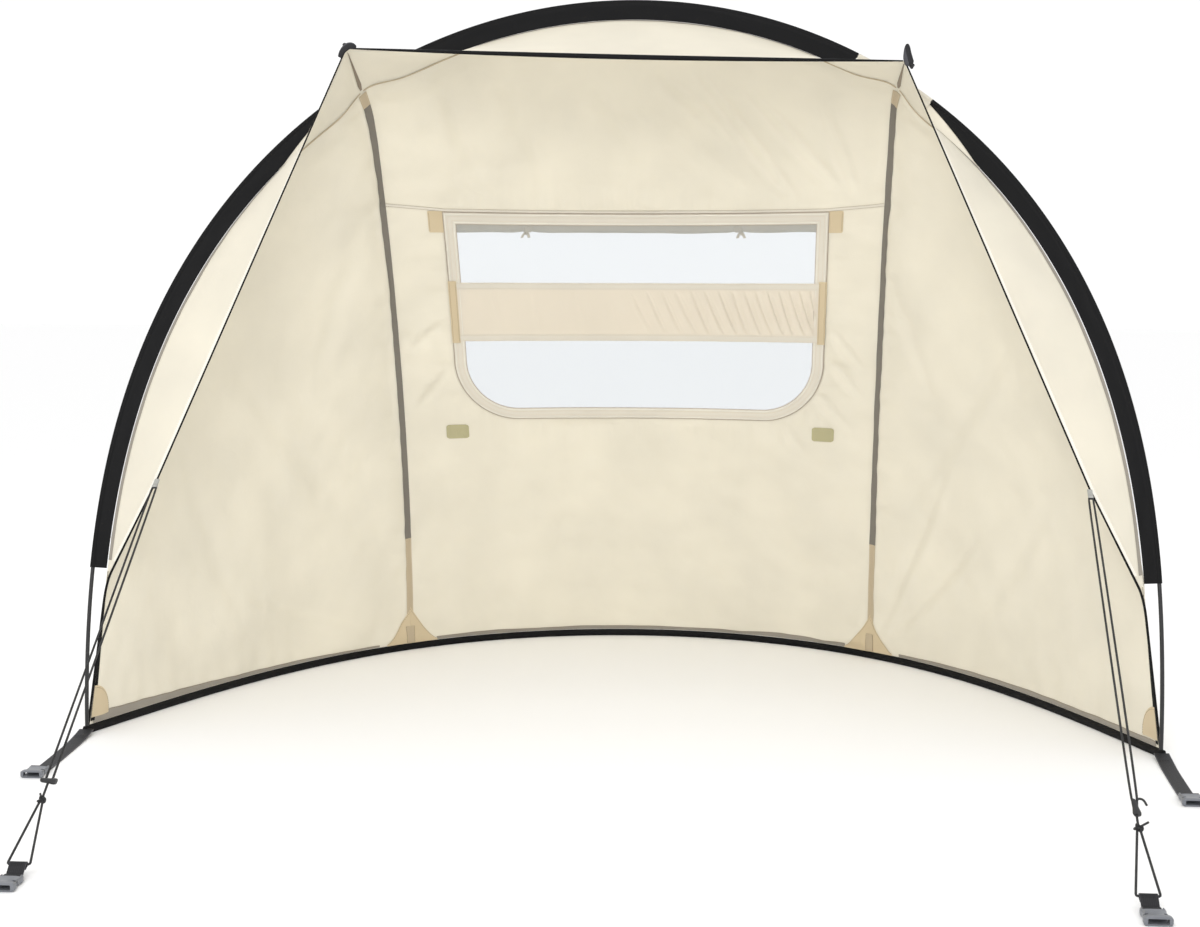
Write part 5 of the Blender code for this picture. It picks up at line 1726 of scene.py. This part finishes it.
for name, side in SIDES.items():
    across_at, back_at = CORNER_BUCKLE[0] * side, CORNER_BUCKLE[1]
    buckle(f"corner_socket_{name}", across_at, back_at, f"corner_buckle_{name}")
    start = side * (HALF_WIDTH - 0.004)
    approach = [(start, -0.0024, 0.0090), (start, -0.030, 0.0040), (start - side * 0.003, -0.075, 0.0011),
                (start - side * 0.008, -0.150, 0.0011), (across_at, back_at + BUCKLE_LENGTH / 2 + 0.012, 0.0014)]
    wrap = round_bar(across_at, back_at)
    tail = [(across_at, wrap[-1][1] + 0.0065, 0.0036), (across_at, wrap[-1][1] + 0.017, 0.0032)]
    path = np.vstack([approach, wrap, tail])
    strap(f"corner_webbing_{name}", path, WEB_WIDTH, f"corner_strap_{name}", (0.03, 0.036))

# %% [markdown]
# ## Guy lines
# Each guy line is a doubled cord from a grey tab on the front edge to a plastic tensioner, a knot, and a loop
# that spreads in the hem of a short strap with the same buckle. The cords are taut, so they are straight.

# %% Guy lines
CORD, BEND, LEG = 0.0017, 0.0020, 0.0048
TAB_START, TAB_TURN, TAB_LAYER = 0.0034, 0.026, 0.0008
TENSIONER, STRAND, KNOT, LOOP_SPREAD = (0.815, 0.850), 0.012, 0.012, 0.0153
STRAP_RUN, STRAP_RISE, FLAP = 0.022, 0.0185, 0.008
HOOK = ((-0.001, 0.002), (-0.006, 0.006), (-0.004, 0.012), (0.006, 0.015))


def cord(name, line, *nodes, radius=CORD):
    """A length of braided cord along a line of points."""
    hand_over(rod(name, line, radius, resolution=4), braid, "cord", *nodes)


def guy_line(name):
    """Everything on one guy line, from the tab on the front edge to the buckle on the floor."""
    side = SIDES[name]
    across_at, back_at = GUY_BUCKLE[0] * side, GUY_BUCKLE[1]
    head = np.array(GUY_POINT) * [side, 1, 1]
    foot = np.array([across_at, back_at + BUCKLE_LENGTH / 2 + STRAP_RUN, STRAP_RISE])
    length = np.linalg.norm(foot - head)
    down = unit(foot - head)
    wide = unit(ACROSS - down * down[0])
    face = np.cross(wide, down)

    def at(distance, shift=0.0, lift=0.0):
        return head + down * distance + wide * shift + face * lift

    fold = arc(at(TAB_TURN), -face, down, CORD + 2 * GAP + 0.0004, -60, 240, 15)
    tab = np.vstack([at(TAB_START, lift=-TAB_LAYER), at(TAB_TURN / 2, lift=-TAB_LAYER), fold,
                     at(TAB_TURN / 2, lift=TAB_LAYER), at(TAB_START, lift=TAB_LAYER)])
    rows = tab[:, None] + wide * np.linspace(-0.0040, 0.0040, 5)[None, :, None]
    tab_tape = cloth(f"guy_tab_tape_{name}", rows, 0.0007)
    sew_on(f"visor_cloth_{name}", tab_tape, grey_tape, "grey_tape", f"guy_tab_{name}")

    near, far = length * TENSIONER[0], length * TENSIONER[1]
    pinch = 1.0 if side < 0 else 0.4
    legs = [[at(near + 0.012, leg * LEG * pinch), at(near - 0.02, leg * LEG),
             at(TAB_TURN + 0.004, leg * LEG * 0.9), at(TAB_TURN + 0.0006, leg * LEG * 0.45)]
            for leg in SIDES.values()]
    line = resample(eased(np.array(legs[0] + legs[1][::-1]), 3), 160)
    cord(f"guy_cord_{name}", line, f"guy_line_{name}")

    long_way = unit(wide + down * 0.18) if side < 0 else unit(down + wide * 0.1)
    flat_way = unit(np.cross(long_way, face))
    reach = 0.0115 if side < 0 else 0.0140
    spine = at(near + 0.012) + long_way * np.linspace(-reach, reach, 13)[:, None]
    widths = np.interp(np.linspace(-1, 1, 13), [-1, -0.8, 0, 0.75, 1], [0.0024, 0.0036, 0.0042, 0.0060, 0.0048])
    rings = oval_rings(spine, flat_way, face, widths, 0.0030)
    hand_over(skin(f"tensioner_{name}", rings), black_plastic, "black_plastic", f"guy_tensioner_{name}")
    if side > 0:
        hook = eased([at(near + along, shift) for along, shift in HOOK])
        hand_over(rod("tensioner_hook", hook, 0.0016, resolution=4), black_plastic, "black_plastic")

    knot_at = at(far + STRAND + KNOT * 0.45)
    cord(f"guy_strand_{name}", resample([at(near + 0.010), at(far), knot_at], 12))
    cord(f"guy_knot_cord_{name}", knot_line(knot_at, wide, down, face, 0.0056), f"guy_knot_{name}")
    way = unit(-wide * 0.45 - down) * 0.013 if side < 0 else unit(wide * 1.1 - down * 0.9) * 0.018
    cord(f"guy_tail_{name}", resample([knot_at, knot_at + way], 6), radius=CORD * 0.9)

    hem = length + BEND
    legs = [[at(far + STRAND + KNOT * 0.6, leg * 0.0018), at(length) + ACROSS * leg * LOOP_SPREAD,
             at(hem) + ACROSS * leg * (LOOP_SPREAD - BEND)] for leg in SIDES.values()]
    loop = resample(np.array(legs[0] + legs[1][::-1]), 120)
    cord(f"guy_loop_cord_{name}", loop, f"guy_loop_{name}")

    buckle(f"guy_socket_{name}", across_at, back_at, f"guy_buckle_{name}")
    wrap = round_bar(across_at, back_at)
    run_way = unit((wrap[0] - at(hem)) * [0, 1, 1])
    rise_way = np.cross(run_way, ACROSS)
    turn_points = arc(at(hem), -run_way, rise_way, CORD + 2 * GAP + WEB / 2, -90, 90, 9)
    flap = at(hem) + run_way * FLAP - rise_way * GAP
    points = np.vstack([flap, turn_points, wrap, wrap[-1] + [0, 0.004, -0.0008]])
    strap(f"guy_webbing_{name}", points, WEB_WIDTH - 0.002, f"guy_strap_{name}", (0.019, 0.0215))
    return length


print("guy line lengths:", [round(float(guy_line(name)), 3) for name in SIDES])

# %% [markdown]
# ## Stitches and the list of sheets
# All stitches of one colour are one mesh of short threads. Then the cut size and area of every panel are
# printed, and the dressed model's box.

# %% Stitches
for colour, look in (("cream", cream_thread), ("brown", brown_thread)):
    piece = stitch_rows(f"stitches_{colour}", SEWN[colour], look, "tape")
    TRIMS["back_cloth"].append(piece)
    print(piece.name, len(piece.data.polygons))

HOLE_AREA = {"back_cloth": panel_area(film)}
PANELS = {
    "back_cloth": (BACK_RELIEF, ["base_ring", "rib_pole_left", "rib_pole_right"]),
    "side_cloth_left": (SIDE["left"], ["base_ring", "rib_pole_left"]),
    "side_cloth_right": (SIDE["right"], ["base_ring", "rib_pole_right"]),
    "visor_roof_cloth": (ROOF, ["arch_pole"]),
    "visor_cloth_left": (VISOR["left"], ["arch_pole"]),
    "visor_cloth_right": (VISOR["right"], ["arch_pole"]),
    "window_film": (film, ["back_panel"]),
}
for name, (grid, rests) in PANELS.items():
    area = panel_area(grid) - HOLE_AREA.get(name, 0)
    cut_size(grid)
    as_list(rests)
    print(name, "cut:", cut_size(grid), "area:", round(area, 3))

low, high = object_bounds()
print("dressed box:", [round(b - a, 3) for a, b in zip(low, high)])
